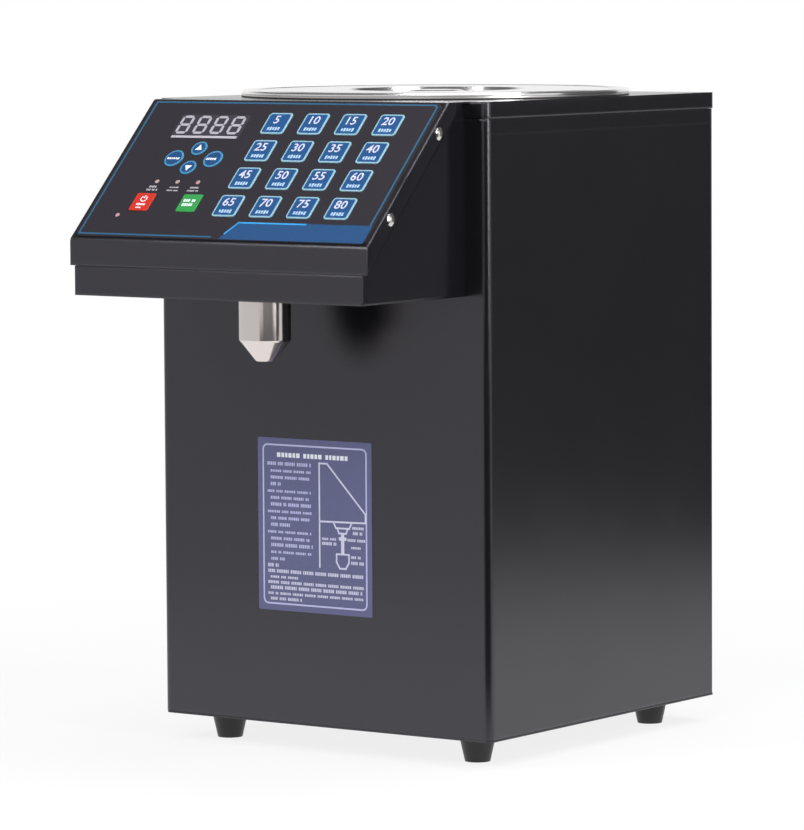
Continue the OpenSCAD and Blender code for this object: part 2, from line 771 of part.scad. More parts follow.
// Lid: rolled skirt, bead that seats on the tank rim, flat ring and recessed centre
module lid() color(steel) round_part() {
    polygon(concat(lid_outside(), lid_inside()));
    translate([locating_r - lid_t, lid_top_z - locating_h]) square([lid_t, locating_h - lid_t / 2]);
}

function lid_outside() = [
    [lid_r, skirt_low_z], [lid_r, lid_top_z - lid_edge], [lid_r - lid_edge, lid_top_z],
    [bead_r + bead_w, lid_top_z], [bead_r + bead_w / 2, bead_floor_z + lid_t],
    [bead_r - bead_w / 2, bead_floor_z + lid_t], [bead_r - bead_w, lid_top_z],
    [dish_r, lid_top_z], [dish_r - dish_slope, dish_z], [0, dish_z]
];

function lid_inside() = [
    [0, dish_z - lid_t], [dish_r - dish_slope + lid_fold, dish_z - lid_t],
    [dish_r + lid_fold, lid_top_z - lid_t], [bead_r - bead_w - lid_fold, lid_top_z - lid_t],
    [bead_r - bead_w / 2 - lid_fold, bead_floor_z], [bead_r + bead_w / 2 + lid_fold, bead_floor_z],
    [bead_r + bead_w + lid_fold, lid_top_z - lid_t], [lid_r - lid_t - lid_edge / 2, lid_top_z - lid_t],
    [lid_r - lid_t, lid_top_z - lid_t - lid_edge / 2], [lid_r - lid_t, skirt_low_z]
];

module lid_grip() color(steel) round_part() polygon([
    [0, dish_z], [grip_stem_r + grip_foot, dish_z], [grip_stem_r, dish_z + grip_foot],
    [grip_stem_r, grip_low_z - 1.5 * grip_round], [grip_r - grip_round, grip_low_z - grip_round / 2],
    [grip_r, grip_low_z + grip_round], [grip_r - grip_round / 2, lid_top_z - 1.2 * grip_round],
    [grip_r - 2.5 * grip_round, lid_top_z - grip_round / 2], [0, lid_top_z - 0.3 * grip_round]
]);

// Spigot screwed through the tank floor, with its nut below and a barb for the hose
module tank_outlet() placed() color(steel) translate([inlet_hose_x, port_y, 0]) difference() {
    union() {
        translate([0, 0, tank_floor_z + tank_t]) cylinder(r = outlet_flange_r, h = outlet_flange_t);
        translate([0, 0, outlet_low_z]) cylinder(r = outlet_r, h = outlet_nut_h + tank_t + eps);
        translate([0, 0, outlet_low_z]) cylinder(r = outlet_flange_r, h = outlet_nut_h, $fn = 6);
        translate([0, 0, outlet_low_z - barb_len]) cylinder(r = barb_r, h = barb_len + eps);
    }
    translate([0, 0, outlet_low_z - barb_len - 1]) cylinder(r = fluid_r, h = barb_len + 4 * outlet_nut_h);
}

// ---- Hoses ----

// Matrix whose columns are the three axes, moved to p
function axes(x, y, z, p) =
    [[x[0], y[0], z[0], p[0]], [x[1], y[1], z[1], p[1]], [x[2], y[2], z[2], p[2]], [0, 0, 0, 1]];
function side_of(d) = abs(d[1]) > 0.5 ? [1, 0, 0] : [0, 1, 0];
function along(d, p) = axes(side_of(d), cross(d, side_of(d)), d, p);

// Round bar of radius r along square corners, each bent at the hose's bend radius
module bent_bar(route, r, grow = 0) {
    n = len(route) - 1;
    for (i = [0:n - 1]) {
        d = unit(route[i + 1] - route[i]);
        a = route[i] + d * (i == 0 ? -grow : hose_bend_r);
        b = route[i + 1] - d * (i == n - 1 ? -grow : hose_bend_r);
        multmatrix(along(d, a)) cylinder(r = r, h = norm(b - a), $fn = 32);
    }
    for (i = [1:n - 1]) {
        d = unit(route[i] - route[i - 1]);
        e = unit(route[i + 1] - route[i]);
        multmatrix(axes(-e, d, cross(-e, d), route[i] - d * hose_bend_r + e * hose_bend_r))
            rotate_extrude(angle = 90, $fn = 64) translate([hose_bend_r, 0]) circle(r, $fn = 32);
    }
}

module hose(route) placed() color([0.85, 0.87, 0.88, 0.8]) difference() {
    bent_bar(route, hose_r);
    bent_bar(route, hose_bore_r, 1);
}

module inlet_hose() hose(inlet_route);

module outlet_hose() hose(outlet_route);

module hose_clamp(p, d) placed() multmatrix(along(d, p)) {
    ring(hose_r + hole_gap + clamp_t, hose_r + hole_gap, clamp_w);
    difference() {
        translate([0, hose_r + clamp_t, clamp_w / 2]) cube([clamp_lug, clamp_lug, clamp_w], center = true);
        cylinder(r = hose_r + clamp_t, h = 3 * clamp_w, center = true);
    }
}

module hose_clamps() color(steel) {
    hose_clamp([inlet_hose_x, port_y, outlet_low_z - clamp_in], [0, 0, -1]);
    hose_clamp([pump_right_x + clamp_in, port_y, port_z], [1, 0, 0]);
    hose_clamp([pump_left_x - clamp_in, port_y, port_z], [-1, 0, 0]);
    hose_clamp([0, nozzle_y, fitting_top_z - barb_len + clamp_in], [0, 0, 1]);
}

// ---- Pump ----

// Point of an involute at roll t, in radians, then turned by a degrees
function involute(t, a) =
    let (roll = t * 180 / PI)
    [base_r * (cos(roll + a) + t * sin(roll + a)), base_r * (sin(roll + a) - t * cos(roll + a))];
function gear_points(n = 5) =
    let (t_tip = sqrt(pow(tip_r / base_r, 2) - 1))
    let (flank_a = tan(pressure_a) * 180 / PI - pressure_a, thin_a = gear_backlash / 2 / pitch_r * 180 / PI)
    let (half = 90 / gear_teeth + flank_a - thin_a)
    [for (k = [0:gear_teeth - 1]) let (a = k * 360 / gear_teeth) each concat(
        [root_r * [cos(a - half), sin(a - half)]],
        [for (i = [0:n]) involute(t_tip * i / n, a - half)],
        [for (i = [n:-1:0]) let (p = involute(t_tip * i / n, -half))
            [p[0] * cos(a) + p[1] * sin(a), p[0] * sin(a) - p[1] * cos(a)]],
        [root_r * [cos(a + half), sin(a + half)]]
    )];

// Gears turn about Y; a tooth of one points at a gap of the other
module gear(z, turn) translate([pump_x, gear_y1, z]) rotate([90, 0, 0]) rotate([0, 0, turn])
    linear_extrude(gear_w) polygon(gear_points());

module y_bar(x, z, y0, y1, r) translate([x, y0, z]) rotate([-90, 0, 0]) cylinder(r = r, h = y1 - y0);

module drive_gear() placed() color(steel) {
    gear(drive_z, 90);
    y_bar(pump_x, drive_z, gear_y0 - journal_len, coupling_y0 + coupling_len / 2 - 1, shaft_r);
}

module idler_gear() placed() color(steel) {
    gear(idler_z, 90 + 180 / gear_teeth);
    y_bar(pump_x, idler_z, gear_y0 - journal_len, gear_y1 + journal_len, shaft_r);
}

module pump_body() placed() color([0.7, 0.71, 0.72]) difference() {
    union() {
        translate([pump_x - pump_w / 2, pump_y0, port_z - pump_h / 2])
            cube([pump_w, pump_y1 - pump_y0, pump_h]);
        for (s = [-1, 1]) translate([pump_x + s * pump_w / 2, port_y, port_z]) rotate([0, s * 90, 0])
            cylinder(r = barb_r, h = barb_len);
    }
    for (z = [drive_z, idler_z]) y_bar(pump_x, z, pump_y0 - 1, gear_y1 + gear_gap, chamber_r);
    translate([pump_x - chamber_half, pump_y0 - 1, drive_z])
        cube([2 * chamber_half, gear_w + 2 * gear_gap + 1, 2 * pitch_r]);
    y_bar(pump_x, drive_z, gear_y1 - 1, pump_y1 + 1, shaft_r + run_gap);
    y_bar(pump_x, idler_z, gear_y1 - 1, gear_y1 + journal_len + end_gap, shaft_r + run_gap);
    for (s = [-1, 1]) translate([pump_x + s * port_in, port_y, port_z]) rotate([0, s * 90, 0])
        cylinder(r = fluid_r, h = pump_w);
    for (p = pump_screws) y_bar(p[0], p[1], pump_y0 - 1, pump_y0 + pump_thread, screw_r + hole_gap);
}

module pump_cover() placed() color([0.7, 0.71, 0.72]) difference() {
    translate([pump_x - pump_w / 2, pump_y0 - pump_cover_t, port_z - pump_h / 2])
        cube([pump_w, pump_cover_t, pump_h]);
    for (z = [drive_z, idler_z])
        y_bar(pump_x, z, gear_y0 - journal_len - end_gap, pump_y0 + 1, shaft_r + run_gap);
    for (p = pump_screws) y_bar(p[0], p[1], pump_y0 - pump_cover_t - 1, pump_y0 + 1, screw_r + hole_gap);
}

module shaft_coupling() placed() color([0.6, 0.6, 0.62]) difference() {
    y_bar(pump_x, drive_z, coupling_y0, coupling_y1, coupling_r);
    y_bar(pump_x, drive_z, coupling_y0 - 1, coupling_y1 + 1, shaft_r);
}

module motor_shaft() placed() color(steel)
    y_bar(pump_x, drive_z, coupling_y0 + coupling_len / 2 + 1, motor_y0 + motor_shaft_in, shaft_r);

module motor() placed() color([0.35, 0.36, 0.38]) difference() {
    union() {
        y_bar(pump_x, drive_z, motor_y0, motor_y0 + motor_len, motor_r);
        y_bar(pump_x, drive_z, motor_y0 - motor_boss_len, motor_y0 + 1, motor_boss_r);
        y_bar(pump_x, drive_z, motor_y0 + motor_len - 1, motor_y0 + motor_len + motor_tail_len, motor_tail_r);
    }
    y_bar(pump_x, drive_z, bracket_y1 - bracket_t - 1, motor_y0 + motor_shaft_in + end_gap, shaft_r + run_gap);
    for (k = [0, 1]) translate([pump_x, motor_y0 + band_y + k * band_pitch, drive_z]) rotate([-90, 0, 0])
        ring(motor_r + 1, motor_r - band_deep, band_w);
}

function bracket_points() =
    [for (x = [-1, 1], y = [bracket_y0 + bracket_screw_in, bracket_y1 - bracket_screw_in])
        [pump_x + x * bracket_screw_x, y]];

// Channel-shaped bracket: the pump bolts to its front wall, the motor to its rear wall
module pump_bracket() placed() color([0.55, 0.56, 0.58]) difference() {
    union() {
        translate([pump_x - bracket_w / 2, bracket_y0, base_t])
            cube([bracket_w, bracket_y1 - bracket_y0, bracket_t]);
        for (y = [bracket_y0, bracket_y1 - bracket_t]) translate([pump_x - bracket_w / 2, y, base_t])
            cube([bracket_w, bracket_t, drive_z + motor_r + bracket_over - base_t]);
    }
    y_bar(pump_x, drive_z, bracket_y0 - 1, bracket_y0 + bracket_t + 1, shaft_r + shaft_clear);
    y_bar(pump_x, drive_z, bracket_y1 - bracket_t - 1, bracket_y1 + 1, motor_boss_r + hole_gap);
    for (p = bracket_points()) translate([p[0], p[1], -1]) cylinder(r = screw_r + hole_gap, h = 10);
}

// ---- Electrical ----

module power_supply() placed() color([0.75, 0.76, 0.77]) translate([psu_x, psu_y, base_t]) difference() {
    cube(psu_size);
    translate([psu_side, -1, psu_terminal[1]])
        cube([psu_size[0] - 2 * psu_side, psu_terminal[0] + 1, psu_size[2]]);
    for (k = [0:psu_slot_count - 1]) translate([psu_size[0] / 2, psu_slot_y + k * slot_pitch, psu_size[2]])
        linear_extrude(sheet_t * 2, center = true) stadium(psu_slot[0], psu_slot[1]);
}

module back_part(z) placed() translate([inlet_x, body_d, z]) rotate([-90, 180, 0]) children();

module power_inlet() back_part(inlet_z) color([0.08, 0.08, 0.08]) {
    difference() {
        union() {
            linear_extrude(flange_out) rounded_rect(inlet_flange[0], inlet_flange[1], flange_r);
            translate([0, 0, -inlet_deep - inlet_back])
                linear_extrude(inlet_deep + inlet_back + eps) square(inlet_body, center = true);
        }
        translate([0, 0, -inlet_deep]) linear_extrude(inlet_deep + flange_out + 1) polygon(inlet_outline());
        for (s = [-1, 1]) translate([s * inlet_screw_x, 0, -1]) cylinder(r = inlet_screw_r, h = 5);
    }
    for (p = inlet_pins) translate([p[0] - pin_size[0] / 2, p[1] - pin_size[1] / 2, -inlet_deep - eps])
        cube([pin_size[0], pin_size[1], inlet_deep - pin_short]);
}

function inlet_outline() =
    let (w = inlet_recess[0] / 2, h = inlet_recess[1] / 2, c = inlet_corner)
    [[-w, -h], [w, -h], [w, h - c], [w - c, h], [-w + c, h], [-w, h - c]];

module switch_body() back_part(switch_z) color([0.08, 0.08, 0.08]) difference() {
    union() {
        linear_extrude(flange_out) rounded_rect(switch_flange[0], switch_flange[1], switch_corner);
        translate([0, 0, -switch_deep]) linear_extrude(switch_deep + eps) square(switch_hole, center = true);
    }
    translate([0, 0, -switch_cavity]) linear_extrude(switch_cavity + flange_out + 1)
        square([rocker_size[0] + 2 * rocker_gap, rocker_size[1] + 2 * panel_fit], center = true);
    rotate([90, 0, 0])
        cylinder(r = rocker_pin_r + run_gap, h = rocker_size[1] + 2 * pin_reach + sheet_gap, center = true);
}

// Rocker on its pin, tipped to the off side
module switch_rocker() back_part(switch_z) color([0.75, 0.1, 0.1]) rotate([90, rocker_tilt, 0]) {
    cylinder(r = rocker_pin_r, h = rocker_size[1] + 2 * pin_reach, center = true);
    linear_extrude(rocker_size[1], center = true) polygon([
        [-rocker_half, rocker_edge], [-rocker_mid, rocker_low], [0, rocker_low - 0.3],
        [rocker_mid, rocker_low], [rocker_half, rocker_edge], [rocker_half - 0.5, -1.2],
        [rocker_foot, -rocker_deep], [-rocker_foot, -rocker_deep], [-rocker_half + 0.5, -1.2]
    ]);
}

// ---- Nozzle ----

module nozzle() placed() color(steel) translate([0, nozzle_y, 0]) rotate_extrude($fn = 96) difference() {
    shoulder_z = head_floor - nozzle_len;
    e = nozzle_edge;
    polygon([
        [0, nozzle_low_z], [nozzle_tip_r - e, nozzle_low_z], [nozzle_tip_r, nozzle_low_z + e],
        [nozzle_r - e, shoulder_z - e], [nozzle_r, shoulder_z + e],
        [nozzle_r, head_floor - e], [nozzle_r - e, head_floor], [0, head_floor]
    ]);
    polygon([
        [-1, nozzle_low_z - 1], [nozzle_bore_r, nozzle_low_z - 1], [nozzle_bore_r, shoulder_z - nozzle_wall],
        [nozzle_r - nozzle_wall, shoulder_z + nozzle_step],
        [nozzle_r - nozzle_wall, head_floor - fitting_in - 1], [fitting_r + hole_gap, head_floor - fitting_in],
        [fitting_r + hole_gap, head_floor + 1], [-1, head_floor + 1]
    ]);
}

// Threaded stem through the head's floor: nozzle below, nut and hose above
module nozzle_fitting() placed() color(steel) translate([0, nozzle_y, 0]) difference() {
    union() {
        translate([0, 0, head_floor - fitting_in]) cylinder(r = fitting_r, h = fitting_in + cover_t + nut_h);
        translate([0, 0, head_floor + cover_t + nut_h - eps]) cylinder(r = barb_r, h = barb_len + eps);
    }
    translate([0, 0, head_floor - fitting_in - 1]) cylinder(r = fluid_r, h = 4 * barb_len);
}

module nozzle_nut() placed() color(steel) translate([0, nozzle_y, head_floor + cover_t])
    nut(fitting_r + hole_gap, nut_across, nut_h - 1.2);

module number_key(i) placed() color(key_blue) square_key(number_keys[i], key_s, key_r);

module key_up() placed() color(key_blue) round_key([arrow_x, arrow_up_v], arrow_key_r);

module key_down() placed() color(key_blue) round_key([arrow_x, arrow_down_v], arrow_key_r);

module key_left() placed() color(key_blue) round_key([left_x, side_v], side_key_r);

module key_right() placed() color(key_blue) round_key([right_x, side_v], side_key_r);

module key_stop() placed() color([0.75, 0.12, 0.12]) square_key([stop_x, action_v], action_s, key_r);

module key_start() placed() color([0.1, 0.55, 0.25]) square_key([start_x, action_v], action_s, key_r);

body_shell();
back_panel();
top_cover();
base_plate();
feet();
machine_screws();
head_box();
head_cover();
cover_screws();
keypad_overlay();
display_window();
display_module();
indicator_leds();
control_board();
instruction_label();
tank();
tank_gasket();
lid();
lid_grip();
tank_outlet();
inlet_hose();
outlet_hose();
hose_clamps();
pump_body();
pump_cover();
drive_gear();
idler_gear();
shaft_coupling();
motor_shaft();
motor();
pump_bracket();
power_supply();
power_inlet();
switch_body();
switch_rocker();
nozzle();
nozzle_fitting();
nozzle_nut();
for (i = [0:15]) number_key(i);
key_up();
key_down();
key_left();
key_right();
key_stop();
key_start();
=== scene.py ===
# %% [markdown]
# # A countertop syrup dispenser
# The object is a black sheet-metal casing with a round lidded tank, a control head with a
# sloped keypad, and a polished nozzle. Its real pieces come packed from the construction
# model, already in place and at their real size. This script gives each of them the finish
# of the real surface and adds what is printed, moulded or pressed on top of them.
# Everything is in metres, Z is up, and the user stands on the -Y side.

# %% Load the frame
import json
import math
import bmesh
import bpy
from mathutils import Matrix, Vector


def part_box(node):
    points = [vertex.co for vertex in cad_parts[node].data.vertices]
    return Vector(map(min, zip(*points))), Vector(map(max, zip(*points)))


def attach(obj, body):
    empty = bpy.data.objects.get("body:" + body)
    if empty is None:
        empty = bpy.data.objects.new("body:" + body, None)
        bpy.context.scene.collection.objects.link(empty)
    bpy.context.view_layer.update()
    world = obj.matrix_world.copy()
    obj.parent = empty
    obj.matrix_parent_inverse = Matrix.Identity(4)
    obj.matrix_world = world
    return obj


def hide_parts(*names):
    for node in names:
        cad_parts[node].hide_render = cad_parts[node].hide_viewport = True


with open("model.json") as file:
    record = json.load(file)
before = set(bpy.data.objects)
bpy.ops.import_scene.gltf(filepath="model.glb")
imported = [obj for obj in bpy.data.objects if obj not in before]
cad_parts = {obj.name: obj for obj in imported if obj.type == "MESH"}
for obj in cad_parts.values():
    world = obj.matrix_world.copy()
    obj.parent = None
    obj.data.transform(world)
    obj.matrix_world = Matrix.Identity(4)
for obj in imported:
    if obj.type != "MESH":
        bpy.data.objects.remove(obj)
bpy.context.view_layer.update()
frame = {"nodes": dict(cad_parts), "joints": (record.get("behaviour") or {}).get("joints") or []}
MM = 0.001

# %% [markdown]
# ## Places read from the frame
# A piece that sits on the sloped panel needs the panel's own axes. The panel starts where
# the level strip of the head ends, and the keys press square to it, so the direction in
# which a key travels gives the slope. Places on the panel are then simple pairs: across it,
# and down the slope.

# %% The sloped panel
HEAD_TOP = 23 * MM          # depth of the level strip above the panel
OVERLAY_TOP = 1.25 * MM     # outer face of the keypad film above the metal panel
PRINT = 0.04 * MM           # thickness of a printed mark, thick enough not to flicker

joints = {joint["name"]: joint for joint in frame["joints"]}
press = Vector(joints["key_5_press"]["axis"])
front_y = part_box("top_cover")[0].y
casing_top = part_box("top_cover")[1].z
slope = math.atan2(press.y, -press.z)
PANEL = Matrix.Translation((0, front_y - HEAD_TOP, casing_top)) @ Matrix.Rotation(slope, 4, "X")


def centre(node):
    """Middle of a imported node's box."""
    low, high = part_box(node)
    return (low + high) / 2


def on_panel(x, down, height=OVERLAY_TOP):
    """Matrix that stands a mark drawn in X and Y on the panel at a place in metres."""
    return PANEL @ Matrix.Translation((x, -down, height))


def panel_place(node):
    """Across and down-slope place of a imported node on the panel."""
    local = PANEL.inverted() @ centre(node)
    return local.x, -local.y


print(f"panel slope {math.degrees(slope):.1f} degrees, key 5 at", panel_place("key_5"))

# %% [markdown]
# ## Building surfaces from nodes
# Colours are written as the sRGB hex values that a paint chart or a screen would show, so
# one function turns them into the linear numbers that the renderer works in. A second
# function adds a node, sets it and links it in one line. Metals keep the default IOR.

# %% Helpers for materials
def linear(code):
    """Linear RGBA of an sRGB hex colour."""
    parts = [int(code[i:i + 2], 16) / 255 for i in (0, 2, 4)]
    return [c / 12.92 if c <= 0.04045 else ((c + 0.055) / 1.055) ** 2.4 for c in parts] + [1.0]


def add(material, kind, sockets=None, **settings):
    """Adds a node; a socket given another node's output is linked, any other value is set."""
    made = material.node_tree.nodes.new(kind)
    for name, value in settings.items():
        setattr(made, name, value)
    for name, value in (sockets or {}).items():
        if isinstance(value, bpy.types.NodeSocket):
            material.node_tree.links.new(value, made.inputs[name])
        else:
            made.inputs[name].default_value = value
    return made


def surface(name, colour, **values):
    """A new material, its principled shader and its Object coordinates."""
    material = bpy.data.materials.new(name)
    material.use_nodes = True
    material.node_tree.nodes.clear()
    shader = add(material, "ShaderNodeBsdfPrincipled", {"Base Color": linear(colour)})
    for socket, value in values.items():
        shader.inputs[socket.replace("_", " ")].default_value = value
    output = add(material, "ShaderNodeOutputMaterial", {"Surface": shader.outputs["BSDF"]})
    place = add(material, "ShaderNodeTexCoord").outputs["Object"]
    return material, shader, place


def link(material, source, shader, socket):
    """Connects a node's output to a named socket of another node."""
    material.node_tree.links.new(source, shader.inputs[socket])


def grain(material, shader, place, size_mm, height_mm, detail=3.0, stretch=(1, 1, 1), edge_mm=0):
    """Bump from noise with grains size_mm across and height_mm deep; returns the noise.

    Where edge_mm is given, the shading of edges is first rounded over that distance.
    """
    mapped = add(material, "ShaderNodeMapping", {"Vector": place, "Scale": stretch})
    noise = add(material, "ShaderNodeTexNoise",
                {"Vector": mapped.outputs["Vector"], "Scale": 1 / (size_mm * MM), "Detail": detail})
    bump = add(material, "ShaderNodeBump",
               {"Height": noise.outputs["Fac"], "Strength": 1.0, "Distance": height_mm * MM})
    if edge_mm:
        soft = add(material, "ShaderNodeBevel", {"Radius": edge_mm * MM}, samples=6)
        link(material, soft.outputs["Normal"], bump, "Normal")
    link(material, bump.outputs["Normal"], shader, "Normal")
    return noise.outputs["Fac"]


def mottle(material, shader, place, size_mm, low, high):
    """Slow changes of roughness over a surface, from noise size_mm across."""
    noise = add(material, "ShaderNodeTexNoise",
                {"Vector": place, "Scale": 1 / (size_mm * MM), "Detail": 4.0})
    spread = add(material, "ShaderNodeMapRange",
                 {"Value": noise.outputs["Fac"], "From Min": 0.3, "From Max": 0.7,
                  "To Min": low, "To Max": high})
    link(material, spread.outputs["Result"], shader, "Roughness")


def shades(material, shader, fac, dark, light, low=0.35, high=0.65):
    """Colour that runs between two hex values with a pattern."""
    ramp = add(material, "ShaderNodeValToRGB", {"Fac": fac})
    ramp.color_ramp.elements[0].position = low
    ramp.color_ramp.elements[1].position = high
    ramp.color_ramp.elements[0].color = linear(dark)
    ramp.color_ramp.elements[1].color = linear(light)
    link(material, ramp.outputs["Color"], shader, "Base Color")


# %% [markdown]
# ## Powder-coated sheet steel
# The casing is folded from sheet steel and powder coated satin black. The powder melts into
# a skin with a faint orange peel, grains a bit under a millimetre across, which breaks up
# the reflections. The black itself is nearly empty: what the eye sees is a blurred, weak
# reflection of the room, so roughness and grain matter more than the colour. The coat also
# pools over the folds and softens them. A Bevel node rounds the shading there over 2.5 mm,
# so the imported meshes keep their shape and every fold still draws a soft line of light.

# %% Powder coat
PEEL_MM, PEEL_DEEP_MM = 0.9, 0.025      # grain of the orange peel and its depth
FOLD_MM = 2.5                           # how far the shading of a fold is rounded
CLOUD_MM = 60                           # size of the slow changes of gloss


def powder_coat(name, dark, light, low, high):
    """Satin coat whose colour and roughness run between two close values."""
    material, shader, place = surface(name, dark, IOR=1.7, Specular_Tint=linear("f6f2ff"))
    fine = grain(material, shader, place, PEEL_MM, PEEL_DEEP_MM, detail=2.0, edge_mm=FOLD_MM)
    shades(material, shader, fine, dark, light)
    mottle(material, shader, place, CLOUD_MM, low, high)
    return material


casing_coat = powder_coat("powder_coat_casing", "101012", "161619", 0.19, 0.23)
head_coat = powder_coat("powder_coat_head", "111013", "17161a", 0.19, 0.23)
print("powder coats:", casing_coat.name, head_coat.name)

# %% [markdown]
# ## Stainless steel and plated metal
# The lid is spun from stainless sheet and polished, which leaves very fine rings round its
# centre. The nozzle is turned from bar and polished, so its marks run round its own axis.
# A wave texture draws such rings by formula about the piece's axis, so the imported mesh
# needs no UV map. Real marks are too fine to show here, so the rings are drawn millimetres
# apart, as slow and very shallow waves that make the reflections a little uneven. Zinc
# plate and plain stainless are duller.

# %% Metals
WAVE_TURN = 20              # radians that a wave texture of scale 1 runs through in a metre
LID_RINGS_MM = 7.54         # from ring to ring, as coarse as they need to be to show
NOZZLE_RINGS_MM = 5.03


def turned_metal(name, colour, roughness, axis_at, pitch_mm, height_mm):
    """Polished metal with lathe rings pitch_mm apart about a vertical axis."""
    material, shader, place = surface(name, colour, Metallic=1.0, Roughness=roughness)
    mapped = add(material, "ShaderNodeMapping",
                 {"Vector": place, "Location": (-axis_at[0], -axis_at[1], 0)})
    rings = add(material, "ShaderNodeTexWave",
                {"Vector": mapped.outputs["Vector"],
                 "Scale": 2 * math.pi / WAVE_TURN / (pitch_mm * MM),
                 "Distortion": 0.6, "Detail": 2.0, "Detail Scale": 4.0},
                wave_type="RINGS", rings_direction="Z")
    bump = add(material, "ShaderNodeBump",
               {"Height": rings.outputs["Fac"], "Strength": 0.5, "Distance": height_mm * MM})
    link(material, bump.outputs["Normal"], shader, "Normal")
    mottle(material, shader, place, 25, roughness * 0.95, roughness * 1.07)
    return material


def plain_metal(name, colour, roughness, grain_mm=0.4, height_mm=0.01, stretch=(1, 1, 1)):
    """Metal with a fine grain, which a stretch below 1 draws out along an axis."""
    material, shader, place = surface(name, colour, Metallic=1.0, Roughness=roughness)
    grain(material, shader, place, grain_mm, height_mm, stretch=stretch)
    mottle(material, shader, place, 12, roughness * 0.95, roughness * 1.06)
    return material


tank_axis = centre("tank")
nozzle_axis = centre("nozzle")
lid_steel = turned_metal("spun_polished_stainless", "e8e6e6", 0.16, tank_axis,
                         LID_RINGS_MM, 0.01)
nozzle_steel = turned_metal("turned_polished_stainless", "e2d9d6", 0.15, nozzle_axis,
                            NOZZLE_RINGS_MM, 0.002)
tank_steel = plain_metal("drawn_stainless", "cfcdca", 0.3, 0.4, 0.003, (1, 1, 0.05))
screw_nickel = plain_metal("bright_nickel_plate", "e4e1de", 0.18, 0.5, 0.008)
zinc_plate = plain_metal("zinc_plated_steel", "b4b6b8", 0.42, 3.0, 0.02)
pump_alloy = plain_metal("machined_aluminium", "c9cacb", 0.34, 0.2, 0.01, (0.1, 1, 1))
gear_steel = plain_metal("ground_steel", "b9babc", 0.25, 0.2, 0.006, (1, 0.1, 1))
case_aluminium = plain_metal("pressed_aluminium_case", "c2c4c6", 0.38, 0.6, 0.01)
print("rings run round", tank_axis.xy, "on the lid and", nozzle_axis.xy, "on the nozzle")

# %% [markdown]
# ## Plastics, rubber and film
# The keypad is a printed polyester film with a satin face: a fine even grain, and a soft
# sheen. Moulded plastics have a spark-eroded grain. The feet are black rubber. The seal under
# the lid is given a dull black as painted shade, for the shadow in the gap under the lid's
# rim. Silicone hose is milky and lets light in, which subsurface scattering shows, and so
# does the diffused lens of an indicator.

# %% Plastics and rubber
def printed_film(name, dark, light, roughness=0.36):
    """Satin polyester film, or ink printed on it."""
    material, shader, place = surface(name, dark, Roughness=roughness, IOR=1.5)
    fine = grain(material, shader, place, 0.5, 0.008, detail=2.0)
    shades(material, shader, fine, dark, light)
    return material


def moulded(name, dark, light, roughness, grain_mm=0.35, height_mm=0.015):
    """Moulded plastic or rubber with the grain of its mould."""
    material, shader, place = surface(name, dark, Roughness=roughness, IOR=1.49)
    fine = grain(material, shader, place, grain_mm, height_mm)
    shades(material, shader, fine, dark, light)
    return material


overlay_film = printed_film("polyester_film_charcoal", "211e25", "26232a")
foot_rubber = moulded("nitrile_rubber_black", "1c1b1e", "242327", 0.45, 0.5, 0.02)
socket_plastic = moulded("moulded_nylon_black", "141414", "1e1e1e", 0.5)
rocker_plastic = moulded("moulded_polycarbonate_red", "b01512", "c01c18", 0.25, 0.6, 0.006)
board_mask = moulded("solder_mask_green", "0d3a20", "135030", 0.35, 1.2, 0.02)
display_case = moulded("display_case_grey", "1a1a1c", "222226", 0.45)
motor_enamel = moulded("motor_enamel_grey", "45474a", "505256", 0.4, 0.8, 0.02)
window_film = printed_film("display_window_film", "36333a", "3b383f", 0.25)
label_film = printed_film("label_film_slate", "57597e", "5f6188", 0.4)


def silicone(name, colour, roughness):
    """Milky silicone rubber, translucent and faintly uneven."""
    material, shader, place = surface(name, colour, Roughness=roughness, IOR=1.41)
    shader.inputs["Subsurface Weight"].default_value = 0.6
    shader.inputs["Subsurface Scale"].default_value = 3 * MM
    grain(material, shader, place, 1.5, 0.02)
    return material


hose_silicone = silicone("translucent_silicone_hose", "cfd4d6", 0.35)
# the seal's dull black is painted shade: the shadow in the gap under the lid's rim
seal_painted_shade = moulded("seal_black_painted_shade", "1b1a1d", "232225", 0.6, 0.4, 0.02)


def lens(name, colour):
    """Diffused epoxy lens of an indicator that is off."""
    material, shader, place = surface(name, colour, Roughness=0.3, IOR=1.54)
    shader.inputs["Subsurface Weight"].default_value = 0.4
    shader.inputs["Subsurface Scale"].default_value = 1 * MM
    grain(material, shader, place, 0.6, 0.01)
    return material


led_lens = lens("diffused_lens_rose", "b09498")
print("translucent finishes:", hose_silicone.name, led_lens.name)

# %% [markdown]
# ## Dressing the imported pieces
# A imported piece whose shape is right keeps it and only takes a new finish. One table says
# which finish each piece has, so the list reads like a parts list.

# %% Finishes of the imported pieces
FINISHES = {
    casing_coat: ["body_shell", "back_panel", "top_cover", "base_plate"],
    head_coat: ["head_box", "head_cover"],
    lid_steel: ["lid", "lid_grip"],
    nozzle_steel: ["nozzle", "nozzle_fitting", "nozzle_nut"],
    tank_steel: ["tank", "tank_outlet", "hose_clamps"],
    screw_nickel: ["cover_screws", "machine_screws"],
    zinc_plate: ["pump_bracket"],
    pump_alloy: ["pump_body", "pump_cover"],
    gear_steel: ["drive_gear", "idler_gear", "shaft_coupling", "motor_shaft"],
    case_aluminium: ["power_supply"],
    overlay_film: ["keypad_overlay"],
    window_film: ["display_window"],
    label_film: ["instruction_label"],
    foot_rubber: ["feet"],
    socket_plastic: ["power_inlet", "switch_body"],
    rocker_plastic: ["switch_rocker"],
    board_mask: ["control_board"],
    display_case: ["display_module"],
    motor_enamel: ["motor"],
    hose_silicone: ["inlet_hose", "outlet_hose"],
    # the seal's black is painted shade under the lid's rim
    seal_painted_shade: ["tank_gasket"],
    led_lens: ["indicator_leds"],
}
for material, nodes in FINISHES.items():
    for node in nodes:
        mesh = frame["nodes"][node].data
        mesh.materials.clear()
        mesh.materials.append(material)
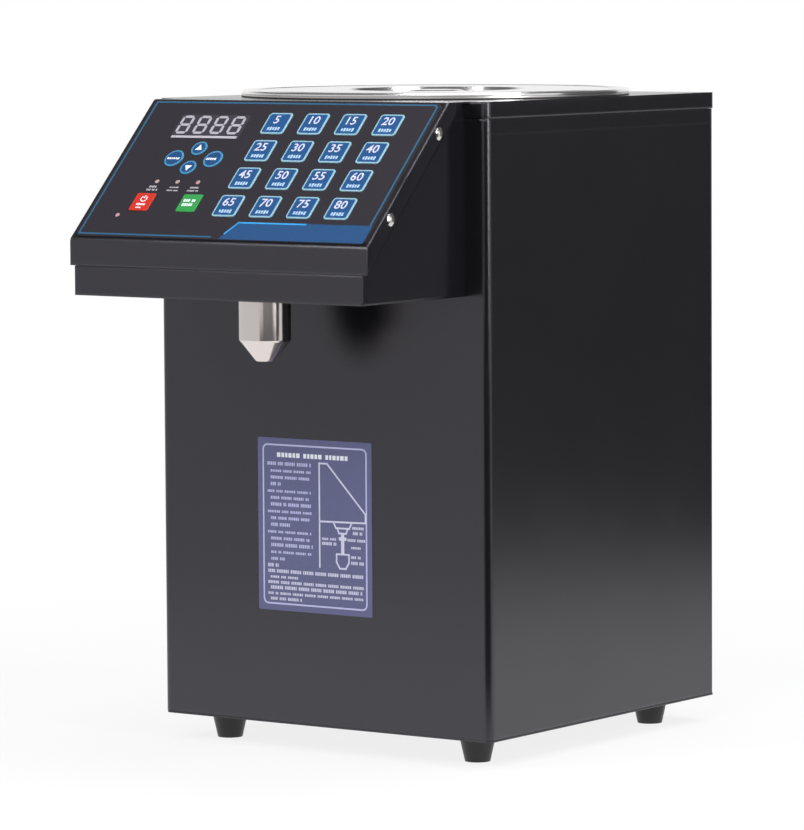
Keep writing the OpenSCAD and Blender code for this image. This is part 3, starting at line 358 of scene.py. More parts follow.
print("dressed", sum(len(nodes) for nodes in FINISHES.values()), "packed pieces")

# %% [markdown]
# ## Turning a bmesh into a piece
# Every new piece is drawn flat in X and Y with its back on Z = 0, given its thickness, and
# then moved to its place inside the mesh, so that the object itself stays at the origin.
# The last step names the body that carries it.

# %% Helpers for pieces
def make_piece(name, bm, place, materials, body, replaces=None, smooth=False):
    """A finished object from a bmesh, in its place, with its body."""
    bm.transform(place)
    bmesh.ops.remove_doubles(bm, verts=bm.verts, dist=1e-7)
    bmesh.ops.recalc_face_normals(bm, faces=bm.faces)
    for face in bm.faces:
        face.smooth = smooth
    mesh = bpy.data.meshes.new(name)
    bm.to_mesh(mesh)
    bm.free()
    for material in materials:
        mesh.materials.append(material)
    piece = bpy.data.objects.new(name, mesh)
    bpy.context.scene.collection.objects.link(piece)
    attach(piece, body)
    if replaces:
        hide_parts(replaces)
    return piece


def rounded_face(bm, width, height, radius, at=(0, 0), segments=5):
    """A flat face with round corners, centred on a place in X and Y."""
    made = bmesh.ops.create_grid(bm, x_segments=1, y_segments=1, size=0.5)
    verts = made["verts"]
    bmesh.ops.scale(bm, vec=(width, height, 1), verts=verts)
    bmesh.ops.translate(bm, vec=(at[0], at[1], 0), verts=verts)
    face = verts[0].link_faces[0]
    if radius:
        rounded = bmesh.ops.bevel(bm, geom=verts, offset=radius, segments=segments, profile=0.5,
                                  affect="VERTICES", material=-1)
        face = max(rounded["faces"] + [f for v in rounded["verts"] for f in v.link_faces],
                   key=lambda f: f.calc_area())
    return face


def thicken(bm, faces, height):
    """Pushes flat faces up by height and keeps their undersides; returns the tops."""
    raised = bmesh.ops.extrude_face_region(bm, geom=faces, use_keep_orig=True)
    tops = [item for item in raised["geom"] if isinstance(item, bmesh.types.BMFace)]
    verts = list({v for face in tops for v in face.verts})
    bmesh.ops.translate(bm, vec=(0, 0, height), verts=verts)
    return tops


def bar(bm, width, height, at, turn=0.0, thickness=PRINT):
    """One printed bar with square ends, centred on a place."""
    made = bmesh.ops.create_cube(bm, size=1.0)
    spin = Matrix.Rotation(turn, 4, "Z")
    size = Matrix.Diagonal((width, height, thickness, 1))
    where = Matrix.Translation((at[0], at[1], thickness / 2))
    bmesh.ops.transform(bm, matrix=where @ spin @ size, verts=made["verts"])


def stroke(bm, start, end, width, thickness=PRINT):
    """A printed line between two places, long enough to close its corners."""
    run = Vector((end[0] - start[0], end[1] - start[1]))
    middle = ((start[0] + end[0]) / 2, (start[1] + end[1]) / 2)
    bar(bm, run.length + width, width, middle, math.atan2(run.y, run.x), thickness)


def pen_line(bm, points, width):
    """Strokes through a row of places; neighbours differ in thickness, so no tops coincide."""
    for step, (start, end) in enumerate(zip(points, points[1:])):
        stroke(bm, start, end, width, PRINT * (1.3 if step % 2 else 1))


def frame_line(bm, width, height, radius, line, at=(0, 0)):
    """A printed outline with round corners."""
    face = rounded_face(bm, width, height, radius, at)
    bmesh.ops.inset_region(bm, faces=[face], thickness=line, use_even_offset=True,
                           use_boundary=True)
    ring = [f for f in bm.faces if f is not face and f.calc_area() > 0 and len(f.verts) == 4]
    bmesh.ops.delete(bm, geom=[face], context="FACES_ONLY")
    thicken(bm, ring, PRINT)


# %% [markdown]
# ## Inks
# Printed marks on the film and on the keys are thin plates of ink. Screen-printing ink is
# nearly matt and slightly uneven, so each ink is a film with two close shades. The keys are
# blue with a pale border, and the segments of the display are grey while they are off.

# %% Printing inks
ink_white = printed_film("screen_ink_white", "dfe3ee", "eceff6", 0.45)
ink_teal = printed_film("screen_ink_teal", "225474", "2a6084", 0.4)
ink_sky = printed_film("screen_ink_sky", "2f8fd0", "3a9ddc", 0.4)
ink_banner = printed_film("screen_ink_banner_blue", "17426e", "1a4c7c", 0.38)
ink_lilac = printed_film("screen_ink_lilac", "b4b4dc", "c0c0e6", 0.42)
ink_pale = printed_film("screen_ink_pale", "c6c6de", "d2d2e8", 0.42)
# grey ink for the captions, and also the painted highlight under the display
grey_ink_and_highlight = printed_film("screen_ink_grey_and_painted_highlight", "a8a4ae", "b6b2bc", 0.42)
segment_grey = printed_film("display_segment_unlit", "a09ca6", "aeaab4", 0.35)
key_edge = printed_film("key_border_cyan", "7ea8ba", "92baca", 0.34)
key_print = printed_film("key_print_pale_blue", "a0bede", "aecae6", 0.4)
key_fill = printed_film("key_face_blue", "1a4678", "205386", 0.3)
key_deep = printed_film("key_face_deep_blue", "18406f", "1d4c7e", 0.3)
key_rim = printed_film("key_rim_teal", "397ba2", "488cb2", 0.26)
key_red = printed_film("key_face_red", "be2616", "c8301e", 0.32)
key_green = printed_film("key_face_green", "288c40", "32984a", 0.32)
print("inks:", [item.name for item in bpy.data.materials if item.name.startswith("screen_ink")])

# %% [markdown]
# ## Keys
# Each key is an embossed pillow of the film. It rides on its own body, because it presses.
# A flat face gets round corners, is pushed up to its height, and the rim is bevelled, which
# makes the soft edge of an embossed key. Insetting the top gives the printed border.

# %% Keys
KEY_LOW = 0.55 * MM         # underside of a key above the metal panel
KEY_HIGH = 1.85 * MM        # top of a key above the metal panel
KEY_RADIUS = 2.5 * MM
SQUARE_RADIUS = 1.2 * MM    # corners of the red and green keys
EMBOSS = 0.35 * MM          # bevel of an embossed rim
BORDER = 0.85 * MM          # printed border of a number key
ROUND_BORDER = 0.95 * MM
SQUARE_BORDER = 0.5 * MM
FACE_STEP = 0.15 * MM       # slope between the border and the face
FACE_SINK = 0.06 * MM       # depth of the face below the border


def key_size(node):
    """Width of a key's solid, which the cap keeps."""
    low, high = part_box(node)
    return high.x - low.x


def round_face(bm, radius, segments=48):
    """A flat round face centred on X = Y = 0."""
    made = bmesh.ops.create_circle(bm, cap_ends=True, segments=segments, radius=radius)
    return made["verts"][0].link_faces[0]


def key_piece(node, radius, rim, face, border):
    """A key cap; a radius of None makes it round."""
    size = key_size(node)
    tall = KEY_HIGH - KEY_LOW
    bm = bmesh.new()
    if radius is None:
        base = round_face(bm, size / 2)
    else:
        base = rounded_face(bm, size, size, radius, segments=8)
    top = thicken(bm, [base], tall)[0]
    bmesh.ops.bevel(bm, geom=list(top.edges), offset=EMBOSS, segments=3, profile=0.5,
                    affect="EDGES", material=-1)
    upper = [f for f in bm.faces if f.normal.z > 0.9 or f.calc_center_median().z > 0.9 * tall]
    top = max(upper, key=lambda f: f.calc_area())
    bmesh.ops.inset_region(bm, faces=[top], thickness=border, use_even_offset=True)
    top.material_index = 1
    bmesh.ops.inset_region(bm, faces=[top], thickness=FACE_STEP, depth=-FACE_SINK,
                           use_even_offset=True)
    x, down = panel_place(node)
    place = on_panel(x, down, KEY_LOW)
    return make_piece(node + "_cap", bm, place, [rim, face], node, node)


number_keys = [f"key_{5 * (i + 1)}" for i in range(16)]
round_keys = ["key_up", "key_down", "key_left", "key_right"]
for node in number_keys:
    key_piece(node, KEY_RADIUS, key_edge, key_fill, BORDER)
for node in round_keys:
    key_piece(node, None, key_rim, key_deep, ROUND_BORDER)
key_piece("key_stop", SQUARE_RADIUS, key_red, key_red, SQUARE_BORDER)
key_piece("key_start", SQUARE_RADIUS, key_green, key_green, SQUARE_BORDER)

# %% [markdown]
# ## Numbers on the keys
# The portion numbers run from 5 to 80 in steps of 5. A text curve is the short way to real
# digits: it gets its size, a little weight and a little thickness, becomes a mesh, and only
# then moves to its key. Under each number is a line of print too small to read, so five
# short bars of uneven height stand for it.

# %% Numbers
NUMBER_HIGH = 7.1 * MM      # height of a digit
NUMBER_UP = 2.9 * MM        # middle of the number above the middle of the key
NUMBER_LEFT = 0.9 * MM
NUMBER_WEIGHT = 0.1 * MM    # what the outline of a digit is fattened by
WORD_DOWN = 4.9 * MM        # middle of the small bars below the middle of the key
BAR_TALL = (2.6, 3.2, 2.4, 3.0, 2.6)    # heights of the five bars in millimetres
BAR_WIDE = 1.5 * MM
BAR_STEP = 2.1 * MM
SIZE_PER_HEIGHT = 1.38      # text size of the built-in font for digits of height 1
LETTER_GAP = 0.2            # gaps in small print, as shares of its height
WORD_GAP = 0.55


def text_bmesh(words, size):
    """A bmesh of thin raised letters, centred on X = Y = 0."""
    curve = bpy.data.curves.new("words", "FONT")
    curve.body, curve.size = words, size * SIZE_PER_HEIGHT
    curve.align_x, curve.align_y = "CENTER", "CENTER"
    curve.extrude, curve.offset, curve.resolution_u = PRINT / 2, NUMBER_WEIGHT, 3
    holder = bpy.data.objects.new("words", curve)
    bpy.context.scene.collection.objects.link(holder)
    graph = bpy.context.evaluated_depsgraph_get()
    mesh = bpy.data.meshes.new_from_object(holder.evaluated_get(graph))
    bm = bmesh.new()
    bm.from_mesh(mesh)
    bpy.data.objects.remove(holder)
    bpy.data.meshes.remove(mesh)
    bmesh.ops.translate(bm, vec=(0, 0, PRINT / 2), verts=bm.verts)
    return bm


def strokes_in_line(bm, left, right, middle, height, seed, width=0.62):
    """A line of print too small to read: upright strokes grouped like words.

    Remainders of the seed and the step vary the strokes, and are the same on every run.
    """
    x, letter, step = left, 0, 0
    word = 3 + seed % 5
    while x < right - height * width:
        step += 1
        wobble = (seed * 7 + step * 13) % 5 / 5
        wide = height * width * (0.7 + 0.5 * wobble)
        tall = height * (0.72 + 0.28 * ((seed + step * 3) % 3) / 2)
        bar(bm, wide, tall, (x + wide / 2, middle + (tall - height) / 2))
        x += wide + height * LETTER_GAP
        letter += 1
        if letter == word:
            letter, word = 0, 2 + (seed * 3 + step * 5) % 6
            x += height * WORD_GAP


def on_key(node, height=KEY_HIGH - FACE_SINK):
    """Matrix that stands a mark on the face of a key."""
    return on_panel(*panel_place(node), height)


for index, node in enumerate(number_keys):
    digits = text_bmesh(str(5 * (index + 1)), NUMBER_HIGH)
    digits.transform(Matrix.Translation((-NUMBER_LEFT, NUMBER_UP, 0)))
    make_piece(node + "_number", digits, on_key(node), [ink_pale], node)
    line = bmesh.new()
    for step in range(len(BAR_TALL)):
        tall = BAR_TALL[(step + index) % len(BAR_TALL)] * MM
        bar(line, BAR_WIDE, tall, ((step - len(BAR_TALL) // 2) * BAR_STEP, -WORD_DOWN))
    make_piece(node + "_small_print", line, on_key(node), [key_print], node)
print("printed", len(number_keys), "numbers")

# %% [markdown]
# ## Signs on the other keys
# The up and down keys have a filled triangle, the two side keys a line of print, the red
# key the usual power sign over two lines of print, and the green key two lines of print. A
# triangle is a circle of three segments. The ring of the power sign is open, so it is made
# by spinning a short edge part of the way round, and the band it leaves is thickened.

# %% Signs
ARROW = 3.2 * MM                # from the middle of an arrow to its tips
POWER_RING = 2.3 * MM           # radius of the power sign
POWER_LINE = 0.75 * MM
POWER_UP = 2.6 * MM             # middle of the power sign above the middle of the key


def triangle(bm, size, turn):
    """A printed triangle whose tips are size away from its middle."""
    made = bmesh.ops.create_circle(bm, cap_ends=True, segments=3, radius=size)
    bmesh.ops.rotate(bm, verts=made["verts"], matrix=Matrix.Rotation(turn, 3, "Z"))
    thicken(bm, [made["verts"][0].link_faces[0]], PRINT)


def arc_line(bm, radius, line, start, sweep, at=(0, 0), steps=20):
    """Part of a ring, printed: a short radial edge spun about a centre, then thickened."""
    tips = [bm.verts.new((at[0] + r * math.cos(start), at[1] + r * math.sin(start), 0))
            for r in (radius - line / 2, radius + line / 2)]
    edge = bm.edges.new(tips)
    before = set(bm.faces)
    bmesh.ops.spin(bm, geom=tips + [edge], cent=(at[0], at[1], 0), axis=(0, 0, 1),
                   angle=sweep, steps=steps, use_merge=False)
    thicken(bm, [face for face in bm.faces if face not in before], PRINT)


def sign(node, name, draw, ink=ink_white):
    """A sign on a key, drawn by the function that it is given."""
    bm = bmesh.new()
    draw(bm)
    return make_piece(f"{node}_{name}", bm, on_key(node), [ink], node)


def power_sign(bm):
    """An open ring with a bar in its gap, over two short lines of print."""
    arc_line(bm, POWER_RING, POWER_LINE, math.radians(125), math.radians(290), (0, POWER_UP))
    bar(bm, POWER_LINE, 2.6 * MM, (0, POWER_UP + 1.8 * MM))
    strokes_in_line(bm, -3.6 * MM, 3.8 * MM, -2.2 * MM, 1.9 * MM, 4)
    strokes_in_line(bm, -3.0 * MM, 3.2 * MM, -5.0 * MM, 1.5 * MM, 6)


def start_words(bm):
    """Two lines of print across the green key."""
    strokes_in_line(bm, -5.4 * MM, 5.6 * MM, 2.0 * MM, 2.3 * MM, 5)
    strokes_in_line(bm, -5.0 * MM, 5.0 * MM, -1.7 * MM, 2.3 * MM, 8)


def word(seed):
    """A function that draws one line of print across a round key."""
    return lambda bm: strokes_in_line(bm, -5.2 * MM, 5.2 * MM, 0, 2.2 * MM, seed)


sign("key_up", "arrow", lambda bm: triangle(bm, ARROW, 0))
sign("key_down", "arrow", lambda bm: triangle(bm, ARROW, math.pi))
sign("key_left", "word", word(3))
sign("key_right", "word", word(7))
sign("key_stop", "power", power_sign)
sign("key_start", "words", start_words)
print("power sign on the key at", panel_place("key_stop"))

# %% [markdown]
# ## The number display
# On the real machine, four digits of seven segments each stand behind a tinted window.
# They are off, so every segment shows as pale grey plastic, like four eights. The window's
# finish lets no light through here, so the digits are drawn on its face. One segment is a
# bar with cut corners. A pale grey bar under the digits is a painted highlight, where the
# bezel catches light.

# %% Display
DIGITS = 4
DIGIT_TALL = 16.6 * MM
DIGIT_WIDE = 10.3 * MM
SEGMENT = 2.1 * MM          # width of a segment
SEGMENT_CUT = 0.49          # cut at its corners, as a share of its width
SEGMENT_GAP = 0.5 * MM      # what a segment is shorter by than its place
DIGIT_STEP = 14.2 * MM
DIGITS_LEFT, DIGITS_UP = 0.6 * MM, 1.1 * MM     # place of the four digits in the window
# a pale bar under the digits: painted highlight where the bezel catches light
HIGHLIGHT_WIDE, HIGHLIGHT_TALL = 54.6 * MM, 2.0 * MM
HIGHLIGHT_LEFT, HIGHLIGHT_DOWN = 0.4 * MM, 9.9 * MM
window_x, window_down = panel_place("display_window")


def segment(bm, length, at, upright):
    """One bar of a digit, its corners cut."""
    face = rounded_face(bm, length, SEGMENT, SEGMENT * SEGMENT_CUT, segments=1)
    verts = list(face.verts)
    turn = Matrix.Rotation(math.pi / 2 if upright else 0, 4, "Z")
    tops = thicken(bm, [face], PRINT)
    verts += [v for top in tops for v in top.verts]
    place = Matrix.Translation((at[0], at[1], 0)) @ turn
    bmesh.ops.transform(bm, matrix=place, verts=list(set(verts)))


def digit(bm, x, y):
    """Seven segments, all there, as in a figure eight."""
    half_wide, half_tall = (DIGIT_WIDE - SEGMENT) / 2, (DIGIT_TALL - SEGMENT) / 2
    flat = DIGIT_WIDE - SEGMENT - SEGMENT_GAP
    tall = half_tall - SEGMENT_GAP
    for level in (-1, 0, 1):
        segment(bm, flat, (x, y + level * half_tall), False)
    for side in (-1, 1):
        for level in (-1, 1):
            segment(bm, tall, (x + side * half_wide, y + level * half_tall / 2), True)


digits = bmesh.new()
for place in range(DIGITS):
    digit(digits, (place - (DIGITS - 1) / 2) * DIGIT_STEP - DIGITS_LEFT, DIGITS_UP)
window = on_panel(window_x, window_down)
make_piece("display_digits", digits, window, [segment_grey], "casing")
# painted highlight: a pale grey bar where the bezel catches light
bezel_highlight = bmesh.new()
bar(bezel_highlight, HIGHLIGHT_WIDE, HIGHLIGHT_TALL, (-HIGHLIGHT_LEFT, -HIGHLIGHT_DOWN))
make_piece("display_painted_highlight", bezel_highlight, window, [grey_ink_and_highlight], "casing")
print("display at", window_x, window_down)

# %% [markdown]
# ## Print on the keypad film
# A thin teal line frames the film and ends in a blue band along the lower right edge, with
# a brighter line along the top of the band. One path of strokes draws the frame, and the
# band is a flat face with one corner drawn in. Rows of small grey strokes stand under the
# three indicators.

# %% Film print
film_low, film_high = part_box("keypad_overlay")
half_film = (film_high.x - film_low.x) / 2
FRAME_X = half_film - 2.2 * MM      # the frame line's distance from the middle
FRAME_TOP = 3.9 * MM                # down the slope to its upper and lower runs
FRAME_LOW = 124.2 * MM
FRAME_CUT = 2 * MM                  # its cut corner at the upper right
FRAME_BREAK = 7 * MM                # from the band to the end of its lower run
FRAME_LINE = 1.3 * MM
BAND_LOW = 125.9 * MM               # down the slope to the band's lower and upper edges
BAND_HIGH = 110.6 * MM
BAND_LEFT = 1.0 * MM
BAND_RISE = 9.2 * MM                # how far its upper left corner is drawn in
BAND_RIGHT = half_film - 0.4 * MM
EDGE_RIGHT = 64 * MM                # where the bright line along the band stops
EDGE_DOWN = BAND_HIGH + 0.5 * MM
EDGE_FOOT = (BAND_LEFT + 3 * MM, -BAND_LOW + 5 * MM)    # its lower end, at the band's left

lines = bmesh.new()
pen_line(lines, [(BAND_LEFT - FRAME_BREAK, -FRAME_LOW), (-FRAME_X, -FRAME_LOW),
                 (-FRAME_X, -FRAME_TOP), (FRAME_X - FRAME_CUT, -FRAME_TOP),
                 (FRAME_X, -FRAME_TOP - FRAME_CUT), (FRAME_X, -BAND_HIGH)], FRAME_LINE)
make_piece("film_frame_line", lines, on_panel(0, 0), [ink_teal], "casing")

band = bmesh.new()
face = rounded_face(band, BAND_RIGHT - BAND_LEFT, BAND_LOW - BAND_HIGH, 0,
                    ((BAND_RIGHT + BAND_LEFT) / 2, -(BAND_LOW + BAND_HIGH) / 2))
corner = min(face.verts, key=lambda v: v.co.x - v.co.y)
corner.co.x += BAND_RISE
thicken(band, [face], PRINT)
make_piece("film_band", band, on_panel(0, 0), [ink_banner], "casing")

edge = bmesh.new()
top_left = (BAND_LEFT + BAND_RISE, -EDGE_DOWN)
stroke(edge, EDGE_FOOT, top_left, FRAME_LINE, PRINT * 2)
stroke(edge, top_left, (EDGE_RIGHT, -EDGE_DOWN), FRAME_LINE, PRINT * 2)
make_piece("film_band_edge", edge, on_panel(0, 0), [ink_sky], "casing")

captions = bmesh.new()
INDICATORS_X = (-75.6 * MM, -58.5 * MM, -41.6 * MM)
CAPTION_ROWS = ((81.2, 3.9, 3.6, 2), (84.0, 4.9, 4.6, 5))   # down, left, right in mm, seed
CAPTION_TALL = 1.6 * MM
for index, x in enumerate(INDICATORS_X):
    for down, left, right, seed in CAPTION_ROWS:
        strokes_in_line(captions, x - left * MM, x + right * MM, -down * MM, CAPTION_TALL,
                        index + seed)
make_piece("film_captions", captions, on_panel(0, 0), [grey_ink_and_highlight], "casing")
print("film is", round(half_film * 2000, 1), "mm wide")

# %% [markdown]
# ## The front label
# A printed film label is stuck on the front: a framed sheet with a heading, a column of
# print beside a small line drawing, and wider lines below both. The print is far too small
# to read, so each line is a row of strokes with gaps, like words. A line says where it
# starts and ends, and the strokes are laid out between, which is quicker than real letters.

# %% Label print
label_low, label_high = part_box("instruction_label")
corner_at = (label_low.x, label_low.y, label_high.z)
LABEL = Matrix.Translation(corner_at) @ Matrix.Rotation(math.pi / 2, 4, "X")
label_wide = (label_high.x - label_low.x) / MM
label_tall = (label_high.z - label_low.z) / MM
# The rest is in millimetres from the label's top left corner.
SHEET_X, SHEET_Y = 3.9, 4.1                 # from the label's edges to the printed frame
SHEET_CORNER, SHEET_LINE = 4, 1.1
TITLE_LEFT, TITLE_RIGHT, TITLE_DOWN, TITLE_TALL = 16, 78.5, 10.7, 4.2
TEXT_LEFT, TEXT_MIDDLE, TEXT_RIGHT = 8.0, 45.5, 87.8
INDENT, WIDE_INDENT = 2.6, 2                # of rows under a heading, of every other wide row
COLUMN_TOP, COLUMN_STEP, COLUMN_ROWS = 17.3, 4.58, 15
COLUMN_SHORT = {3: 20, 9: 27, 14: 23}       # rows that end early, and where
COLUMN_HEADS = (0, 4, 7, 10)                # rows that start at the margin
WIDE_TOP, WIDE_STEP, WIDE_ROWS = 89.9, 3.7, 6
WIDE_SHORT = {1: 33, 5: 37}
PRINT_TALL = 2.3


def label_line(bm, left, right, down, height, seed):
    """A line of print on the label, in millimetres from its top left corner."""
    strokes_in_line(bm, left * MM, right * MM, -down * MM, height * MM, seed, width=0.5)


ring = bmesh.new()
frame_line(ring, (label_wide - 2 * SHEET_X) * MM, (label_tall - 2 * SHEET_Y) * MM,
           SHEET_CORNER * MM, SHEET_LINE * MM, (label_wide / 2 * MM, -label_tall / 2 * MM))
make_piece("label_frame", ring, LABEL, [ink_lilac], "casing")

title = bmesh.new()
strokes_in_line(title, TITLE_LEFT * MM, TITLE_RIGHT * MM, -TITLE_DOWN * MM, TITLE_TALL * MM, 3)
make_piece("label_title", title, LABEL, [ink_white], "casing")

column = bmesh.new()
for row in range(COLUMN_ROWS):
    left = TEXT_LEFT if row in COLUMN_HEADS else TEXT_LEFT + INDENT
    right = COLUMN_SHORT.get(row, TEXT_MIDDLE - row % 3)
    label_line(column, left, right, COLUMN_TOP + row * COLUMN_STEP, PRINT_TALL, row + 2)
make_piece("label_column", column, LABEL, [ink_lilac], "casing")

words = bmesh.new()
label_line(words, TEXT_LEFT, 19, 86.0, 2.4, 5)      # one short word above the wide rows
for row in range(WIDE_ROWS):
    left = TEXT_LEFT + (WIDE_INDENT if row % 2 else 0)
    right = WIDE_SHORT.get(row, TEXT_RIGHT - row % 2)
    label_line(words, left, right, WIDE_TOP + row * WIDE_STEP, PRINT_TALL, row + 11)
make_piece("label_words", words, LABEL, [ink_pale], "casing")
print(f"label is {label_wide:.1f} by {label_tall:.1f} mm")

# %% [markdown]
# The drawing shows the front part of the machine from the side, in a few lines: the column,
# the sloped head, the spout and a jar under it. Straight strokes are enough, a little over
# a millimetre wide. Short notes stand round it. Places are in millimetres from the label's
# top left corner.

# %% Label drawing
drawing = bmesh.new()
PEN = 1.15 * MM
OUTLINE = [(51, 85), (51, 15.5), (57.4, 15.5), (88.8, 47.9), (88.8, 53.7), (51, 54.4)]
FLANGE = [(62.8, 55), (64.5, 58.2), (75.4, 58.2), (77.1, 55)]
NECK = [(65.5, 58.2), (67, 61.6), (72.8, 61.6), (74.3, 58.2)]
JAR = [(64.9, 75.6), (64.9, 81), (67.6, 85.2), (72.4, 85.2), (75.1, 81), (75.1, 75.6),
       (64.9, 75.6)]
for path in (OUTLINE, FLANGE, NECK, JAR):
    pen_line(drawing, [(x * MM, -down * MM) for x, down in path], PEN)
SPOUT_X = 70 * MM
bar(drawing, 2.6 * MM, 13.4 * MM, (SPOUT_X, -68.4 * MM), thickness=PRINT * 1.6)
bar(drawing, 6.2 * MM, 2.2 * MM, (SPOUT_X, -65.2 * MM), thickness=PRINT * 2)      # its collar
make_piece("label_drawing", drawing, LABEL, [ink_pale], "casing")

NOTES = [(78, 88.6, 57.4), (78.5, 87, 61), (53, 66, 65.6), (74, 88.8, 65.6),
         (53, 65, 69), (77, 86, 70.5), (77, 85, 77), (77, 88, 81)]     # left, right, down
notes = bmesh.new()
for row, (left, right, down) in enumerate(NOTES):
    label_line(notes, left, right, down, 2.1, row + 4)
make_piece("label_notes", notes, LABEL, [ink_pale], "casing")
print(len(NOTES), "notes round the drawing")

# %% [markdown]
# ## Camera
# The camera was worked out from the photograph's edges and the casing's real size. It looks
# down a little, from the right of the front, through a long lens, so the far edges shrink
# only slightly. Azimuth, elevation and roll turn one after another.

# %% Camera
CAMERA_AT = (2.05530, -2.89093, 0.52603)
AZIMUTH, ELEVATION, ROLL = 35.312, 4.897, -0.345
LENS_MM, SENSOR_MM = 227.17, 36

camera = bpy.data.objects.new("camera", bpy.data.cameras.new("camera"))
camera.data.lens = LENS_MM
camera.data.sensor_width = SENSOR_MM
camera.data.sensor_fit = "AUTO"
camera.matrix_world = (
    Matrix.Translation(CAMERA_AT)
    @ Matrix.Rotation(math.radians(AZIMUTH), 4, "Z")
    @ Matrix.Rotation(math.radians(90 - ELEVATION), 4, "X")
    @ Matrix.Rotation(math.radians(ROLL), 4, "Z")
)
bpy.context.scene.collection.objects.link(camera)
bpy.context.scene.camera = camera
print(f"camera {Vector(CAMERA_AT).length:.2f} m from the middle of the base")

# %% [markdown]
# ## Floor and room
# The machine stands on white paper in a room that is plain white to the camera. Black satin
# shows whatever is around it, so what it mirrors is set apart from what lights it. Mirror
# rays see walls that are white at the back and a light grey at the front, under a dim
# ceiling, and a floor whose tone runs into that of the walls. Every other ray finds a dim
# grey room. Close to the machine the paper keeps its shadow, and further out it fades to
# the plain white of the background.

# %% Floor and world
FADE_FROM, FADE_TO = 0.42, 0.95     # metres from the machine where the shadow fades out
SHADOW_SHARE = 0.16                 # part of the near paper that takes real shading
MIRROR_FROM, MIRROR_TO = 0.6, 1.2   # metres over which the mirrored floor falls to WALL_TONE
WALL_TONE = 0.69                    # brightness of the wall behind the camera
WALL_TOP = 0.25                     # sine of the height to which the walls are white
WALL_FADE = 0.25                    # the same, for the band in which they end
FRONT_TO, BACK_FROM = -0.3, 0.4     # where the front wall's tone ends and the white begins
ROOM_TONE = 0.22                    # brightness of the room for all other rays
FLOOR_WIDE = 12                     # metres

world = bpy.data.worlds.new("pale_room")
world.use_nodes = True
world.node_tree.nodes.clear()
rays = add(world, "ShaderNodeLightPath")
room = add(world, "ShaderNodeBackground", {"Color": linear("dcdde2"), "Strength": ROOM_TONE})
plain = add(world, "ShaderNodeBackground", {"Color": linear("ffffff"), "Strength": 1.0})
direction = add(world, "ShaderNodeTexCoord").outputs["Generated"]
heading = add(world, "ShaderNodeSeparateXYZ", {"Vector": direction})
rear = add(world, "ShaderNodeMapRange",
           {"Value": heading.outputs["Y"], "From Min": FRONT_TO, "From Max": BACK_FROM,
            "To Min": WALL_TONE, "To Max": 1.0})
wall = add(world, "ShaderNodeBackground",
           {"Color": linear("ffffff"), "Strength": rear.outputs["Result"]})
walls = add(world, "ShaderNodeMapRange",
            {"Value": heading.outputs["Z"], "From Min": WALL_TOP, "From Max": WALL_TOP + WALL_FADE,
             "To Min": 1.0, "To Max": 0.0}, interpolation_type="SMOOTHSTEP")
mirrored = add(world, "ShaderNodeMath",
               {0: rays.outputs["Is Glossy Ray"], 1: walls.outputs["Result"]},
               operation="MULTIPLY")
direct = add(world, "ShaderNodeMath",
             {0: rays.outputs["Is Camera Ray"], 1: rays.outputs["Is Transmission Ray"]},
             operation="MAXIMUM")
walled = add(world, "ShaderNodeMixShader",
             {"Fac": mirrored.outputs["Value"],
              1: room.outputs["Background"], 2: wall.outputs["Background"]})
mixed = add(world, "ShaderNodeMixShader",
            {"Fac": direct.outputs["Value"],
             1: walled.outputs["Shader"], 2: plain.outputs["Background"]})
add(world, "ShaderNodeOutputWorld", {"Surface": mixed.outputs["Shader"]})
bpy.context.scene.world = world


def stage_sheet(name, material, place, width, height):
    """A flat sheet of the stage, drawn in X and Y and moved to its place."""
    bm = bmesh.new()
    bmesh.ops.create_grid(bm, x_segments=1, y_segments=1, size=0.5)
    bm.transform(place @ Matrix.Diagonal((width, height, 1, 1)))
    mesh = bpy.data.meshes.new(name)
    bm.to_mesh(mesh)
    bm.free()
    mesh.materials.append(material)
    sheet = bpy.data.objects.new(name, mesh)
    bpy.context.scene.collection.objects.link(sheet)
    return sheet


def show(material, mix):
    """Makes a mix shader what the material shows."""
    output = next(node for node in material.node_tree.nodes if node.type == "OUTPUT_MATERIAL")
    link(material, mix.outputs["Shader"], output, "Surface")


paper, paper_shader, paper_place = surface("matt_white_paper", "f2f2f2", Roughness=0.95)
glow = add(paper, "ShaderNodeEmission", {"Color": linear("ffffff"), "Strength": 1.0})
reach = add(paper, "ShaderNodeVectorMath", {0: paper_place}, operation="LENGTH")
near = add(paper, "ShaderNodeMapRange",
           {"Value": reach.outputs["Value"], "From Min": FADE_FROM, "From Max": FADE_TO,
            "To Min": 1 - SHADOW_SHARE, "To Max": 1.0}, interpolation_type="SMOOTHSTEP")
paper_rays = add(paper, "ShaderNodeLightPath")
share = add(paper, "ShaderNodeMath",
            {0: near.outputs["Result"], 1: paper_rays.outputs["Is Camera Ray"]},
            operation="MULTIPLY")
drawn = add(paper, "ShaderNodeMixShader",
            {"Fac": share.outputs["Value"],
             1: paper_shader.outputs["BSDF"], 2: glow.outputs["Emission"]})
tone = add(paper, "ShaderNodeMapRange",
           {"Value": reach.outputs["Value"], "From Min": MIRROR_FROM, "From Max": MIRROR_TO,
            "To Min": 1.0, "To Max": WALL_TONE}, interpolation_type="SMOOTHSTEP")
mirror_glow = add(paper, "ShaderNodeEmission",
                  {"Color": linear("ffffff"), "Strength": tone.outputs["Result"]})
paper_mix = add(paper, "ShaderNodeMixShader",
                {"Fac": paper_rays.outputs["Is Glossy Ray"], 1: drawn.outputs["Shader"],
                 2: mirror_glow.outputs["Emission"]})
show(paper, paper_mix)
stage_sheet("floor", paper, Matrix.Identity(4), FLOOR_WIDE, FLOOR_WIDE)
print("paper fades to white from", FADE_FROM, "to", FADE_TO, "m")

